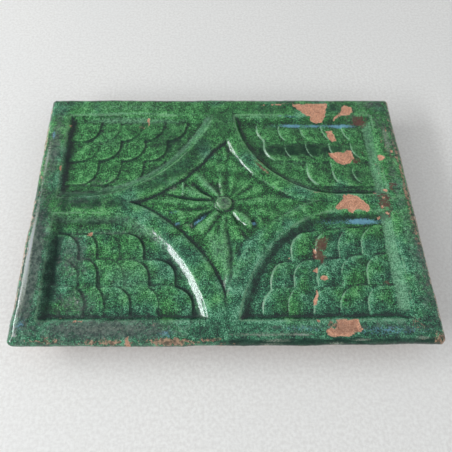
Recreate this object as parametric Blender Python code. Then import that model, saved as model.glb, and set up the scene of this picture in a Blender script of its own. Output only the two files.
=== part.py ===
"""Green-glazed relief stove tile: a moulded face plate with a hollow clay rump behind it, one fired piece.

Plan of the face: a flat frame, four sunk corner panels that carry rows of overlapping scales, four
curved ribs between them, and a sunk four-pointed star with a leafy rosette and a boss.
The tile lies on the rim of its rump, face up.  Lengths below are millimetres; the mesh is metres.
"""
import math

import bmesh
import bpy
import numpy as np
from mathutils import Vector
from mathutils.geometry import delaunay_2d_cdt

MM = 0.001

# ---- overall sizes -------------------------------------------------------------------------
LENGTH = 305.0          # along X
WIDTH = 219.4           # along Y
FACE_Z = 28.0           # plane of the frame and the ribs above the rim of the rump
PLATE = 13.0            # thickness of the plate at its edge
EDGE_RUN = 7.5          # rounded-over outer edge, measured inwards
EDGE_DROP = 6.5         # and downwards
CORNER_R = 4.0          # plan radius of the plate's corners
SIDE_DRAFT = 1.0        # the side slopes in by this towards the back
RUMP_INSET = 16.0       # plate edge to the outside of the rump
RUMP_WALL = 10.0
RUMP_CORNER_R = 13.0
RUMP_TAPER = 1.5        # the rump narrows by this towards its rim
RIM_ROUND = 1.5

# ---- relief --------------------------------------------------------------------------------
PANEL_LEFT, PANEL_RIGHT = -134.0, 132.0     # upper edges of the sunk panels
PANEL_TOP, PANEL_BOTTOM = 89.5, -93.0
PANEL_DEPTH, PANEL_RUN = 5.0, 6.4           # hollow moulding from the edge down to the panel floor
STAR_DEPTH, STAR_RUN = 3.2, 2.6
SCALE_HEIGHT = 20.5                         # one row of scales
SCALE_RISE_U, SCALE_RISE_V, SCALE_CROWN = 0.95, 1.0, 0.35
BOSS_X, BOSS_Y, BOSS_R, BOSS_HIGH = -0.2, 0.6, 6.4, 1.0

# Each rib is bounded by two rounded arcs, (centre x, centre y, half width, half height, power),
# seen from the tile's centre towards that corner.
RIBS = {
    "top_left": ((-1, 1), (121.9, 141.4, 122.5, 135.2, 2.02), (90.0, 129.0, 105.0, 128.1, 1.83)),
    "top_right": ((1, 1), (90.0, 88.5, 79.2, 80.1, 1.79), (82.3, 93.1, 82.9, 91.0, 1.94)),
    "bottom_left": ((-1, -1), (90.0, 102.6, 77.0, 94.3, 1.71), (125.0, 104.8, 128.1, 117.1, 1.89)),
    "bottom_right": ((1, -1), (91.5, 105.7, 84.0, 99.2, 1.85), (135.6, 94.2, 136.9, 106.4, 2.15)),
}

# Rows of scales, measured from each panel's outer corner: (free edge of the row, its rise per
# millimetre sideways, free edge of the first scale, pitch, number of scales).
SCALE_ROWS = {
    "top_left": ((25.5, 0.0, 27.3, 18.8, 5), (46.2, 0.0, 27.8, 19.1, 5), (70.0, 0.0, 29.0, 18.2, 4)),
    "bottom_left": ((26.0, 0.0, 31.5, 19.2, 5), (46.5, 0.0, 24.5, 18.0, 5), (68.0, 0.0, 22.0, 16.7, 4)),
    "top_right": ((28.0, 0.0, 26.5, 18.9, 5), (46.8, 0.0, 21.0, 18.9, 5), (72.0, 0.0, 24.0, 18.5, 3)),
    "bottom_right": ((25.5, 0.02, 30.0, 19.0, 5), (47.5, 0.08, 7.0, 18.4, 6), (70.0, 0.13, 7.0, 18.8, 5)),
}

# The star's upper tip is cut off by a line, (x, y) of a place on it and its inward direction.
TIP_X, TIP_Y, TIP_DX, TIP_DY = 4.2, 63.8, 0.597, -0.803

# Leaves, spears and drops of the rosette: (direction in degrees, length, half width, widest at,
# ridge height).
PETALS = (
    (158, 40, 7.5, 0.80, 1.7), (199, 42, 7.0, 0.74, 1.6), (112, 44, 8.0, 0.74, 1.6), (70, 44, 7.0, 0.70, 1.5),
    (24, 42, 7.0, 0.70, 1.4), (-21, 42, 8.0, 0.72, 1.6), (-62, 40, 7.0, 0.74, 1.7), (248, 44, 7.5, 0.72, 1.6),
    (88, 58, 7.0, 0.42, 1.9), (2, 64, 6.5, 0.42, 1.9), (-88, 70, 10.0, 0.55, 2.4), (180, 66, 6.8, 0.42, 2.1),
    (131, 36, 6.0, 0.64, 2.7), (46, 35, 6.4, 0.62, 2.2), (-43, 30, 5.8, 0.60, 2.7), (226, 34, 6.2, 0.62, 2.5),
)

FACE_STEP = 0.75        # sampling of the relief
FACE_MISS = 0.08        # how far a facet may stand off the relief before it is split
FACE_POINTS = 3500      # corners of the faceted face, at most


def arc_distance(x, y, sign, arc):
    """Distance from a rib's arc, positive towards the middle of the tile."""
    cx, cy, a, b, n = arc
    u = np.clip(cx - sign[0] * x, 0, None) / a
    v = np.clip(cy - sign[1] * y, 0, None) / b
    slope = np.hypot(n * u ** (n - 1) / a, n * v ** (n - 1) / b)
    return (u ** n + v ** n - 1) / np.maximum(slope, 0.004)


def soft_min(a, b, k):
    h = np.clip(0.5 + 0.5 * (b - a) / k, 0, 1)
    return b + (a - b) * h - k * h * (1 - h)


def hollow_wall(d, run, depth, power):
    """Moulding that starts steep at the edge and runs out on the floor."""
    return -depth * (1 - (1 - np.clip(d / run, 0, 1)) ** power)


def corner_axes(x, y, sign):
    """Distances in from the panel's two outer edges."""
    u = x - PANEL_LEFT if sign[0] < 0 else PANEL_RIGHT - x
    v = PANEL_TOP - y if sign[1] > 0 else y - PANEL_BOTTOM
    return u, v


def scale_relief(u, v, rows):
    """Overlapping scales: each climbs from its root to its free edges and drops to the next."""
    z = np.zeros_like(u)
    for row, (free_v, tilt, first, pitch, count) in enumerate(rows):
        for col in range(count):
            free_u = first + col * pitch
            a = (u - (free_u - pitch)) / pitch
            b = (v - (free_v - tilt * (u - 60.0) - SCALE_HEIGHT)) / SCALE_HEIGHT
            if row == 0:
                b = np.maximum(b, 0)
            if col == 0:
                a = np.maximum(a, 0)
            nose = np.clip((a - 0.30) / 0.70, 0, None) ** 2.2 + np.clip((b - 0.35) / 0.65, 0, None) ** 2.2
            here = (nose <= 1) & (a > -0.75) & (b > -0.7)
            a0, b0 = np.clip(a, 0, 1), np.clip(b, 0, 1)
            top = (SCALE_RISE_U * np.clip(a, -0.6, 1) + SCALE_RISE_V * np.clip(b, -0.6, 1)
                   + SCALE_CROWN * (1 - (2 * a0 - 1) ** 2) * (1 - (2 * b0 - 1) ** 2))
            z = np.where(here, np.maximum(z, top), z)
    return z


def rosette_relief(x, y):
    px, py = x - BOSS_X, y - BOSS_Y
    r = np.hypot(px, py)
    z = np.zeros_like(x)
    for angle, length, half, widest, ridge in PETALS:
        t = math.radians(angle)
        along = px * math.cos(t) + py * math.sin(t)
        across = -px * math.sin(t) + py * math.cos(t)
        q = np.clip(along / length, 0, 1)
        rise = np.sin(np.pi / 2 * np.clip(q / widest, 0, 1)) ** 0.8
        fall = np.cos(np.pi / 2 * np.clip((q - widest) / (1 - widest), 0, 1)) ** 0.75
        edge = 1 - np.abs(across) / (half * np.where(q < widest, rise, fall) + 0.01)
        petal = (0.5 + ridge * np.clip(edge, 0, 1) ** 0.9) * np.clip((1 - q) * 4, 0, 1) ** 0.5
        z = np.maximum(z, np.where((edge > 0) & (along > 0), petal, 0))
    z = z * np.clip((r - BOSS_R - 0.2) / 3.5, 0, 1) ** 0.7
    dome = STAR_DEPTH - 0.6 + (BOSS_HIGH + 0.6) * np.sqrt(np.clip(1 - (r / BOSS_R) ** 2, 0, 1))
    return np.where(r < BOSS_R, np.maximum(z, dome), z)


def soften(z, sigma):
    n = int(3 * sigma) + 1
    k = np.exp(-0.5 * (np.arange(-n, n + 1) / sigma) ** 2)
    k /= k.sum()
    p = np.pad(z, n, mode="edge")
    p = sum(k[i] * p[i:i + z.shape[0], :] for i in range(2 * n + 1))
    return sum(k[i] * p[:, i:i + z.shape[1]] for i in range(2 * n + 1))


def face_relief(x, y):
    """Height of the face over the frame's plane."""
    z = np.zeros_like(x)
    for name, (sign, panel_arc, _star) in RIBS.items():
        u, v = corner_axes(x, y, sign)
        d = soft_min(soft_min(u, v, 1.5), -arc_distance(x, y, sign, panel_arc), 1.5)
        wall = hollow_wall(d, PANEL_RUN, PANEL_DEPTH, 2.3)
        scales = scale_relief(u, v, SCALE_ROWS[name])
        floor = np.maximum(wall, wall * 0 - PANEL_DEPTH + scales)
        floor = np.maximum(wall, np.minimum(floor, wall + scales * np.clip((d - 2.5) / 3.0, 0, 1)))
        z = np.where(d > 0, floor, z)
    star = star_field(x, y)
    sunk = hollow_wall(star, STAR_RUN, STAR_DEPTH, 1.6) + rosette_relief(x, y) * np.clip((star - 1.2) / 2.0, 0, 1)
    return np.where(star > 0, np.minimum(sunk, BOSS_HIGH), z)


# ---- faceted face --------------------------------------------------------------------------
HALF_X = LENGTH / 2 - EDGE_RUN      # the face proper ends where the edge starts to round over
HALF_Y = WIDTH / 2 - EDGE_RUN


def side_marks(half, count):
    """Stations along one side: close together at the corners, even between them."""
    inner = np.linspace(-(half - 3.5), half - 3.5, count)
    return [-half, -half + 1.5] + [float(v) for v in inner] + [half - 1.5, half]


MARKS_X = side_marks(HALF_X, 18)
MARKS_Y = side_marks(HALF_Y, 13)


def border_points():
    """The face's outline, anticlockwise from its lower left corner."""
    pts = [(x, -HALF_Y) for x in MARKS_X[:-1]]
    pts += [(HALF_X, y) for y in MARKS_Y[:-1]]
    pts += [(-x, HALF_Y) for x in MARKS_X[:-1]]
    pts += [(-HALF_X, -y) for y in MARKS_Y[:-1]]
    return pts


def even_steps(path, step):
    """Points at even steps along a closed path."""
    path = np.vstack([path, path[:1]])
    run = np.concatenate([[0], np.cumsum(np.hypot(*np.diff(path, axis=0).T))])
    marks = np.linspace(0, run[-1], max(int(run[-1] / step), 8), endpoint=False)
    return np.stack([np.interp(marks, run, path[:, 0]), np.interp(marks, run, path[:, 1])], 1)


def level_line(field, centre, level, step):
    """The closed line around centre on which field falls to level."""
    t = np.linspace(0, 2 * np.pi, 1440, endpoint=False)
    near, far = np.zeros_like(t), np.full_like(t, 160.0)
    for _ in range(26):
        mid = (near + far) / 2
        inside = field(centre[0] + mid * np.cos(t), centre[1] + mid * np.sin(t)) > level
        near, far = np.where(inside, mid, near), np.where(inside, far, mid)
    return even_steps(np.stack([centre[0] + near * np.cos(t), centre[1] + near * np.sin(t)], 1), step)


def panel_field(sign, arc):
    def field(x, y):
        u, v = corner_axes(x, y, sign)
        return soft_min(soft_min(u, v, 1.5), -arc_distance(x, y, sign, arc), 1.5)
    return field


def star_field(x, y):
    d = (x - TIP_X) * TIP_DX + (y - TIP_Y) * TIP_DY
    for sign, _panel, arc in RIBS.values():
        d = soft_min(d, arc_distance(x, y, sign, arc), 1.0)
    return d


def carving_lines():
    """Lines that the facets follow: panel and star edges, boss, petal ridges, then scale edges."""
    closed, loose = [], []
    for name, (sign, panel_arc, _star) in RIBS.items():
        field = panel_field(sign, panel_arc)
        centre = (sign[0] * 92.0, sign[1] * 52.0)
        for level, step in ((-0.5, 3.8), (0.9, 4.0), (3.2, 4.6), (6.2, 5.0)):
            closed.append(level_line(field, centre, level, step))
        for row, (free_v, tilt, first, pitch, count) in enumerate(SCALE_ROWS[name]):
            for col in range(count):
                for reach in (0.97, 1.035):
                    t = np.linspace(0.0, np.pi / 2, 9)
                    a = 0.30 + 0.70 * reach * np.cos(t) ** (2 / 2.2)
                    b = 0.35 + 0.65 * reach * np.sin(t) ** (2 / 2.2)
                    a = np.concatenate([[a[0]], a, [0.0]])
                    b = np.concatenate([[0.0], b, [b[-1]]])
                    u = first + (col - 1 + a) * pitch
                    v = free_v - tilt * (u - 60.0) + (b - 1) * SCALE_HEIGHT
                    x = PANEL_LEFT + u if sign[0] < 0 else PANEL_RIGHT - u
                    y = PANEL_TOP - v if sign[1] > 0 else PANEL_BOTTOM + v
                    keep = field(x, y) > 5.6
                    loose.append(np.stack([x[keep], y[keep]], 1))
    for level, step in ((-0.5, 3.4), (0.9, 3.6), (2.9, 4.0)):
        closed.append(level_line(star_field, (0.0, 0.0), level, step))
    for r, n in ((BOSS_R + 1.2, 20), (BOSS_R - 0.4, 20), (BOSS_R * 0.62, 12)):
        t = np.linspace(0, 2 * np.pi, n, endpoint=False)
        closed.append(np.stack([BOSS_X + r * np.cos(t), BOSS_Y + r * np.sin(t)], 1))
    for angle, length, half, widest, _ridge in PETALS:
        t = math.radians(angle)
        along = np.arange(BOSS_R + 4.0, length - 1.0, 3.6)
        x, y = BOSS_X + along * math.cos(t), BOSS_Y + along * math.sin(t)
        keep = star_field(x, y) > 3.0
        loose.append(np.stack([x[keep], y[keep]], 1))
    return closed, loose


def facet_face():
    """Corner points along the carving's own lines, then where the facets miss the relief most."""
    xs = np.arange(-HALF_X + FACE_STEP, HALF_X - FACE_STEP / 2, FACE_STEP)
    ys = np.arange(-HALF_Y + FACE_STEP, HALF_Y - FACE_STEP / 2, FACE_STEP)
    gx, gy = np.meshgrid(xs, ys)
    z = soften(face_relief(gx, gy), 0.5 / FACE_STEP)
    free = np.ones(z.shape, bool)
    free[:3, :] = free[-3:, :] = False
    free[:, :3] = free[:, -3:] = False

    def cell(x, y):
        return int(round((y - ys[0]) / FACE_STEP)), int(round((x - xs[0]) / FACE_STEP))

    def height_at(x, y):
        i = min(max((x - xs[0]) / FACE_STEP, 0), len(xs) - 1.001)
        j = min(max((y - ys[0]) / FACE_STEP, 0), len(ys) - 1.001)
        i0, j0 = int(i), int(j)
        fi, fj = i - i0, j - j0
        return float((z[j0, i0] * (1 - fi) + z[j0, i0 + 1] * fi) * (1 - fj)
                     + (z[j0 + 1, i0] * (1 - fi) + z[j0 + 1, i0 + 1] * fi) * fj)

    rim = border_points()
    pts, heights, edges = [], [], []

    def place(x, y, room):
        """Takes the point unless another one stands within room cells of it."""
        j, i = cell(x, y)
        if not (0 <= j < z.shape[0] and 0 <= i < z.shape[1]) or not free[j, i]:
            return None
        pts.append((float(x), float(y)))
        heights.append(height_at(x, y))
        free[max(j - room, 0):j + room + 1, max(i - room, 0):i + room + 1] = False
        return len(rim) + len(pts) - 1

    closed, loose = carving_lines()
    for line in closed:
        ids = [k for k in (place(x, y, 1) for x, y in line) if k is not None]
        for k in range(len(ids)):
            a, b = ids[k], ids[(k + 1) % len(ids)]
            pa, pb = pts[a - len(rim)], pts[b - len(rim)]
            if a != b and math.hypot(pa[0] - pb[0], pa[1] - pb[1]) < 8.0:
                edges.append((a, b))
    for line in loose:
        for x, y in line:
            place(x, y, 0)
    for y in np.arange(-HALF_Y + 6, HALF_Y - 5, 9.0):
        for x in np.arange(-HALF_X + 6, HALF_X - 5, 9.0):
            place(x, y, 3)
    for _ in range(10):
        corners = rim + pts
        _v, _e, tris, *_rest = delaunay_2d_cdt([Vector(p) for p in corners], edges, [], 0, 1e-6)
        level = [0.0] * len(rim) + heights
        found = []
        for tri in tris:
            if max(tri) >= len(corners):
                continue
            (ax, ay), (bx, by), (cx, cy) = (corners[k] for k in tri)
            za, zb, zc = (level[k] for k in tri)
            i0, i1 = np.searchsorted(xs, [min(ax, bx, cx), max(ax, bx, cx)])
            j0, j1 = np.searchsorted(ys, [min(ay, by, cy), max(ay, by, cy)])
            area = (bx - ax) * (cy - ay) - (cx - ax) * (by - ay)
            if i1 <= i0 or j1 <= j0 or abs(area) < 1e-6:
                continue
            px, py = gx[j0:j1, i0:i1], gy[j0:j1, i0:i1]
            wb = ((px - ax) * (cy - ay) - (cx - ax) * (py - ay)) / area
            wc = ((bx - ax) * (py - ay) - (px - ax) * (by - ay)) / area
            inside = (wb >= 0) & (wc >= 0) & (wb + wc <= 1) & free[j0:j1, i0:i1]
            miss = np.where(inside, np.abs(za + wb * (zb - za) + wc * (zc - za) - z[j0:j1, i0:i1]), 0)
            k = int(np.argmax(miss))
            if miss.flat[k] > FACE_MISS:
                jj, ii = divmod(k, miss.shape[1])
                found.append((-float(miss.flat[k]), j0 + jj, i0 + ii))
        found.sort()
        before = len(pts)
        for _m, j, i in found:
            if len(pts) < FACE_POINTS:
                place(float(xs[i]), float(ys[j]), 1)
        if len(pts) == before:
            break
    corners = [Vector(p) for p in rim + pts]
    verts, _e, tris, *_rest = delaunay_2d_cdt(corners, edges, [], 0, 1e-6)
    level = [0.0] * len(rim) + heights + [height_at(v.x, v.y) for v in verts[len(corners):]]
    return [(v.x, v.y) for v in verts], level, tris


# ---- edge, back and rump -------------------------------------------------------------------
def outline(half_x, half_y, radius):
    """A rounded rectangle with one point for each station of the face's outline."""
    def side(marks, half, straight):
        span = half - 3.5
        out = []
        for m in marks[:-1]:
            a = half - abs(m)
            if a < 0.1:
                out.append((math.copysign(1, m), 45))
            elif a < 3.0:
                out.append((math.copysign(1, m), 22.5))
            else:
                out.append((m / span * straight, None))
        return out

    pts = []
    sx, sy = half_x - radius, half_y - radius
    for k, (marks, half, straight, other, far) in enumerate((
            (MARKS_X, HALF_X, sx, sy, half_y), (MARKS_Y, HALF_Y, sy, sx, half_x),
            (MARKS_X, HALF_X, sx, sy, half_y), (MARKS_Y, HALF_Y, sy, sx, half_x))):
        for value, swing in side(marks, half, straight):
            if swing is None:
                p = (value, -far)
            else:
                t = math.radians(swing)
                p = (value * (straight + radius * math.sin(t)), -(other + radius * math.cos(t)))
            turn = k * 90
            c, s = round(math.cos(math.radians(turn))), round(math.sin(math.radians(turn)))
            pts.append((c * p[0] - s * p[1], s * p[0] + c * p[1]))
    return pts


def build_tile():
    corners, level, tris = facet_face()
    bm = bmesh.new()
    face_verts = [bm.verts.new((x * MM, y * MM, (FACE_Z + z) * MM)) for (x, y), z in zip(corners, level)]
    for tri in tris:
        a, b, c = (corners[k] for k in tri)
        area = (b[0] - a[0]) * (c[1] - a[1]) - (c[0] - a[0]) * (b[1] - a[1])
        if area < 0:
            tri = tri[::-1]
        bm.faces.new([face_verts[k] for k in tri])
    last = face_verts[:len(border_points())]

    def ring(half_x, half_y, radius, z):
        nonlocal last
        new = [bm.verts.new((x * MM, y * MM, z * MM)) for x, y in outline(half_x, half_y, radius)]
        n = len(new)
        for k in range(n):
            bm.faces.new((last[k], new[k], new[(k + 1) % n], last[(k + 1) % n]))
        last = new

    hx, hy = LENGTH / 2, WIDTH / 2
    for t in (22.5, 45, 67.5, 90):                       # rounded-over edge
        inset = EDGE_RUN * (1 - math.sin(math.radians(t)))
        ring(hx - inset, hy - inset, max(CORNER_R - inset, 0.6), FACE_Z - EDGE_DROP * (1 - math.cos(math.radians(t))))
    back = FACE_Z - PLATE
    ring(hx - SIDE_DRAFT, hy - SIDE_DRAFT, CORNER_R - 0.5, back + 1.2)
    ring(hx - SIDE_DRAFT - 1.2, hy - SIDE_DRAFT - 1.2, CORNER_R - 1.2, back)
    rx, ry = hx - RUMP_INSET, hy - RUMP_INSET            # rump, outside
    ring(rx, ry, RUMP_CORNER_R, back)
    tx, ty = rx - RUMP_TAPER, ry - RUMP_TAPER
    ring(tx, ty, RUMP_CORNER_R, RIM_ROUND)
    ring(tx - RIM_ROUND * 0.3, ty - RIM_ROUND * 0.3, RUMP_CORNER_R, RIM_ROUND * 0.3)
    ring(tx - RIM_ROUND, ty - RIM_ROUND, RUMP_CORNER_R - 1, 0)
    ix, iy = tx - RUMP_WALL, ty - RUMP_WALL              # rim and inside
    ring(ix + RIM_ROUND, iy + RIM_ROUND, RUMP_CORNER_R - 3, 0)
    ring(ix + RIM_ROUND * 0.3, iy + RIM_ROUND * 0.3, RUMP_CORNER_R - 3.5, RIM_ROUND * 0.3)
    ring(ix, iy, RUMP_CORNER_R - 4, RIM_ROUND)
    ring(ix + 0.5, iy + 0.5, RUMP_CORNER_R - 4, back - 4)
    ring(ix - 1.2, iy - 1.2, RUMP_CORNER_R - 4, back - 1.2)
    ring(ix - 4.5, iy - 4.5, RUMP_CORNER_R - 5, back)
    floor = bm.faces.new(last)                           # back of the plate inside the rump
    bmesh.ops.triangulate(bm, faces=[floor])
    bmesh.ops.recalc_face_normals(bm, faces=bm.faces[:])
    mesh = bpy.data.meshes.new("stove_tile")
    bm.to_mesh(mesh)
    bm.free()
    mesh.shade_smooth()
    mesh.set_sharp_from_angle(angle=math.radians(40))
    tile = bpy.data.objects.new("stove_tile", mesh)
    bpy.context.scene.collection.objects.link(tile)
    return tile


def glaze():
    """Copper-green lead glaze."""
    mat = bpy.data.materials.new("green_lead_glaze")
    mat.use_nodes = True
    bsdf = mat.node_tree.nodes["Principled BSDF"]
    bsdf.inputs["Base Color"].default_value = (0.035, 0.13, 0.06, 1)
    bsdf.inputs["Roughness"].default_value = 0.22
    bsdf.inputs["Metallic"].default_value = 0.0
    return mat


for old in list(bpy.data.objects):
    bpy.data.objects.remove(old, do_unlink=True)
tile = build_tile()
tile.data.materials.append(glaze())
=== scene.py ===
"""Looks of the green-glazed relief stove tile.

The tile is one closed body: the moulded face with its carving, the rounded edge, the sides, the
back and the hollow rump.  Its relief is worked out on a fine grid in millimetres, from the same
sizes as the solid model, then hand-made unevenness, scale by scale differences, leaf veins, worn
edges and the broken glaze are added.  Colour comes from noise in the object's own space and from
how deep, how raised or how worn each place is, with painted shade on walls and grooves turned
from the light and painted highlights on walls, ridges and edges that face it.
"""
import math

import bpy
import numpy as np
from mathutils import Matrix


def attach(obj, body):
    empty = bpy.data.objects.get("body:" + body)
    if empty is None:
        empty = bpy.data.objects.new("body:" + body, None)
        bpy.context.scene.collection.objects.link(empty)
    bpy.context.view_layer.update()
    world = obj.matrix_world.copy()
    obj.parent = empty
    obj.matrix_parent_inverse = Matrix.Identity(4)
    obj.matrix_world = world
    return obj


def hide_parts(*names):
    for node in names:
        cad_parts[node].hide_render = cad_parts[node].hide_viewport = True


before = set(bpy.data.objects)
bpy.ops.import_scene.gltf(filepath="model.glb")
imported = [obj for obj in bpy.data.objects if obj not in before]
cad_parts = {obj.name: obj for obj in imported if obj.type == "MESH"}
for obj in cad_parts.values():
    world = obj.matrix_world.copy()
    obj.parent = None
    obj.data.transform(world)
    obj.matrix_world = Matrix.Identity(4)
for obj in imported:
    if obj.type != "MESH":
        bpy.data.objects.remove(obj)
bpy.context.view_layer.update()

MM = 0.001

# ---- sizes shared with the solid model, millimetres -------------------------------------------
LENGTH, WIDTH, FACE_Z, PLATE = 305.0, 219.4, 28.0, 13.0
EDGE_RUN, EDGE_DROP, CORNER_R, SIDE_DRAFT = 7.5, 6.5, 4.0, 1.0
RUMP_INSET, RUMP_WALL, RUMP_CORNER_R, RUMP_TAPER, RIM_ROUND = 16.0, 10.0, 13.0, 1.5, 1.5
PANEL_LEFT, PANEL_RIGHT, PANEL_TOP, PANEL_BOTTOM = -134.0, 132.0, 89.5, -93.0
PANEL_DEPTH = 5.0
# how far each panel's hollow moulding runs in: (outer side, top or bottom, arc)
PANEL_RUNS = {"UL": (4.4, 8.0, 8.5), "UR": (9.5, 8.0, 4.8), "LL": (8.0, 5.0, 7.4), "LR": (9.5, 5.0, 6.6)}
STAR_DEPTH, STAR_RUN = 3.2, 2.6
STAR_RUNS = {"UL": 2.6, "UR": 3.0, "LL": 2.8, "LR": 5.2}
SCALE_HEIGHT = 20.5
BOSS_X, BOSS_Y, BOSS_R = -0.2, 0.6, 6.4

# Arcs on both sides of each rib: (centre x, centre y, half width, half height, power).
RIBS = {
    "UL": ((-1, 1), (121.9, 141.4, 122.5, 135.2, 2.02), (90.0, 129.0, 105.0, 128.1, 1.83)),
    "UR": ((1, 1), (90.0, 88.5, 79.2, 80.1, 1.79), (82.3, 93.1, 82.9, 91.0, 1.94)),
    "LL": ((-1, -1), (90.0, 102.6, 77.0, 94.3, 1.71), (125.0, 104.8, 128.1, 117.1, 1.89)),
    "LR": ((1, -1), (91.5, 105.7, 84.0, 99.2, 1.85), (135.6, 94.2, 136.9, 106.4, 2.15)),
}
# Rows of scales from each panel's outer corner: (free edge, its rise sideways, free side of each).
SCALE_ROWS = {
    "UL": ((25.5, 0.0, (27.3, 44.5, 63.3, 82.5, 102.3)), (46.2, 0.0, (27.8, 47.1, 66.8, 86.6, 104.0)),
           (70.0, 0.0, (29.0, 48.0, 66.8, 83.5))),
    "LL": ((26.0, 0.0, (31.5, 46.0, 64.5, 84.5, 108.5)), (46.5, 0.0, (24.5, 39.0, 57.8, 77.0, 96.5)),
           (68.0, 0.0, (22.0, 36.5, 53.5, 72.0))),
    "UR": ((28.0, 0.0, (26.5, 44.0, 63.5, 82.5, 102.0)), (46.8, 0.0, (21.0, 40.5, 60.0, 78.5, 96.5)),
           (72.0, 0.0, (24.0, 41.5, 61.0))),
    "LR": ((25.5, 0.02, (30.0, 50.0, 69.5, 87.5, 106.0)), (47.0, 0.08, (7.0, 26.8, 46.0, 65.2, 82.0, 99.0)),
           (70.0, 0.13, (7.0, 26.8, 45.2, 64.0, 82.0))),
}
# Leaves of the rosette: each a bent ridge through (x, y, half width, height), with its cross
# section: 1 is a sharp ridge, 2 is rounded.
LEAVES = (
    (1.2, ((-0.8, 7, 1.5, 2.0), (-1.7, 14, 1.9, 1.9), (-2.2, 25, 2.8, 1.7), (-5, 34, 5.0, 1.3), (-8, 41, 3.5, 0.6))),
    (1.1, ((-4, 7, 1.6, 2.2), (-9, 13, 2.6, 2.6), (-14, 18, 3.3, 2.7), (-20, 25, 3.8, 2.0), (-24, 29, 2.5, 0.8))),
    (1.5, ((-6, 22, 3.0, 1.0), (-11, 31, 5.0, 1.5), (-12, 38, 4.0, 0.8))),
    (1.3, ((-8.5, 52, 1.8, 1.2), (-6.5, 45, 2.8, 1.3))),
    (1.5, ((2.0, 44, 2.0, 0.9), (1.0, 56, 2.2, 0.9))),
    (1.4, ((5.5, 10, 1.8, 1.2), (7.5, 24, 3.6, 1.5), (9.5, 36, 3.4, 0.9))),
    (1.1, ((8, 8, 1.6, 1.7), (16, 15.5, 2.4, 2.0), (26, 26, 3.4, 1.3))),
    (1.4, ((9, 5.5, 2.0, 1.4), (22, 11, 3.8, 1.7), (36, 17, 4.2, 1.1))),
    (1.4, ((8, 2, 2.0, 1.4), (23, 2.8, 3.8, 2.0), (42, 4.5, 4.4, 1.5), (60, 4, 2.2, 0.7))),
    (1.4, ((20, -4, 1.8, 0.8), (31, -5.5, 3.6, 1.5), (40, -9.5, 3.6, 1.0))),
    (1.6, ((27, -12, 2.2, 0.9), (29, -18, 3.2, 1.0))),
    (1.7, ((8.5, -6.5, 2.2, 2.2), (13.5, -10.5, 4.0, 3.0), (18.4, -15.8, 3.5, 2.8))),
    (1.5, ((4, -11, 2.2, 1.4), (8.5, -21, 4.0, 1.9), (11.5, -29, 3.6, 1.2))),
    (1.0, ((0, -9, 2.0, 1.3), (-2.0, -22, 5.0, 1.6), (-2.0, -37, 11.0, 2.2), (0.3, -52, 8.5, 2.3), (0.8, -70, 3.4, 1.6))),
    (1.5, ((7, -34, 2.4, 1.0), (7.2, -46, 2.6, 1.1), (5.0, -55, 2.0, 1.0))),
    (1.5, ((-4.5, -13, 2.2, 1.3), (-9, -24, 3.8, 1.6), (-14.5, -33.5, 4.2, 1.3))),
    (1.8, ((-5.5, -7.5, 2.2, 2.2), (-10.5, -13.5, 4.0, 2.8), (-17.5, -21, 4.4, 2.4))),
    (1.5, ((-12, -5, 1.6, 1.1), (-25, -8.5, 4.0, 1.9), (-32, -12.5, 4.2, 2.0))),
    (1.4, ((-9, 1, 2.2, 1.6), (-25, 1.5, 3.6, 2.0), (-45, 3.2, 4.4, 1.6), (-61, 3.2, 2.0, 0.8))),
    (1.5, ((-34, -7, 2.6, 1.2), (-45, -3.6, 3.2, 1.1), (-53, -1.5, 2.2, 0.8))),
    (1.6, ((-23, -24, 3.6, 1.4), (-29, -19.5, 3.4, 1.3))),
    (1.8, ((-11, 6.2, 1.6, 1.6), (-20, 9.2, 4.0, 2.1), (-27.5, 12.8, 5.6, 2.3))),
    (1.2, ((-33.2, 9.5, 1.3, 2.4), (-33.6, 20, 1.3, 2.3))),
    (1.5, ((-36, 13, 3.4, 1.7), (-44, 10.5, 1.8, 1.2))),
)
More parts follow.
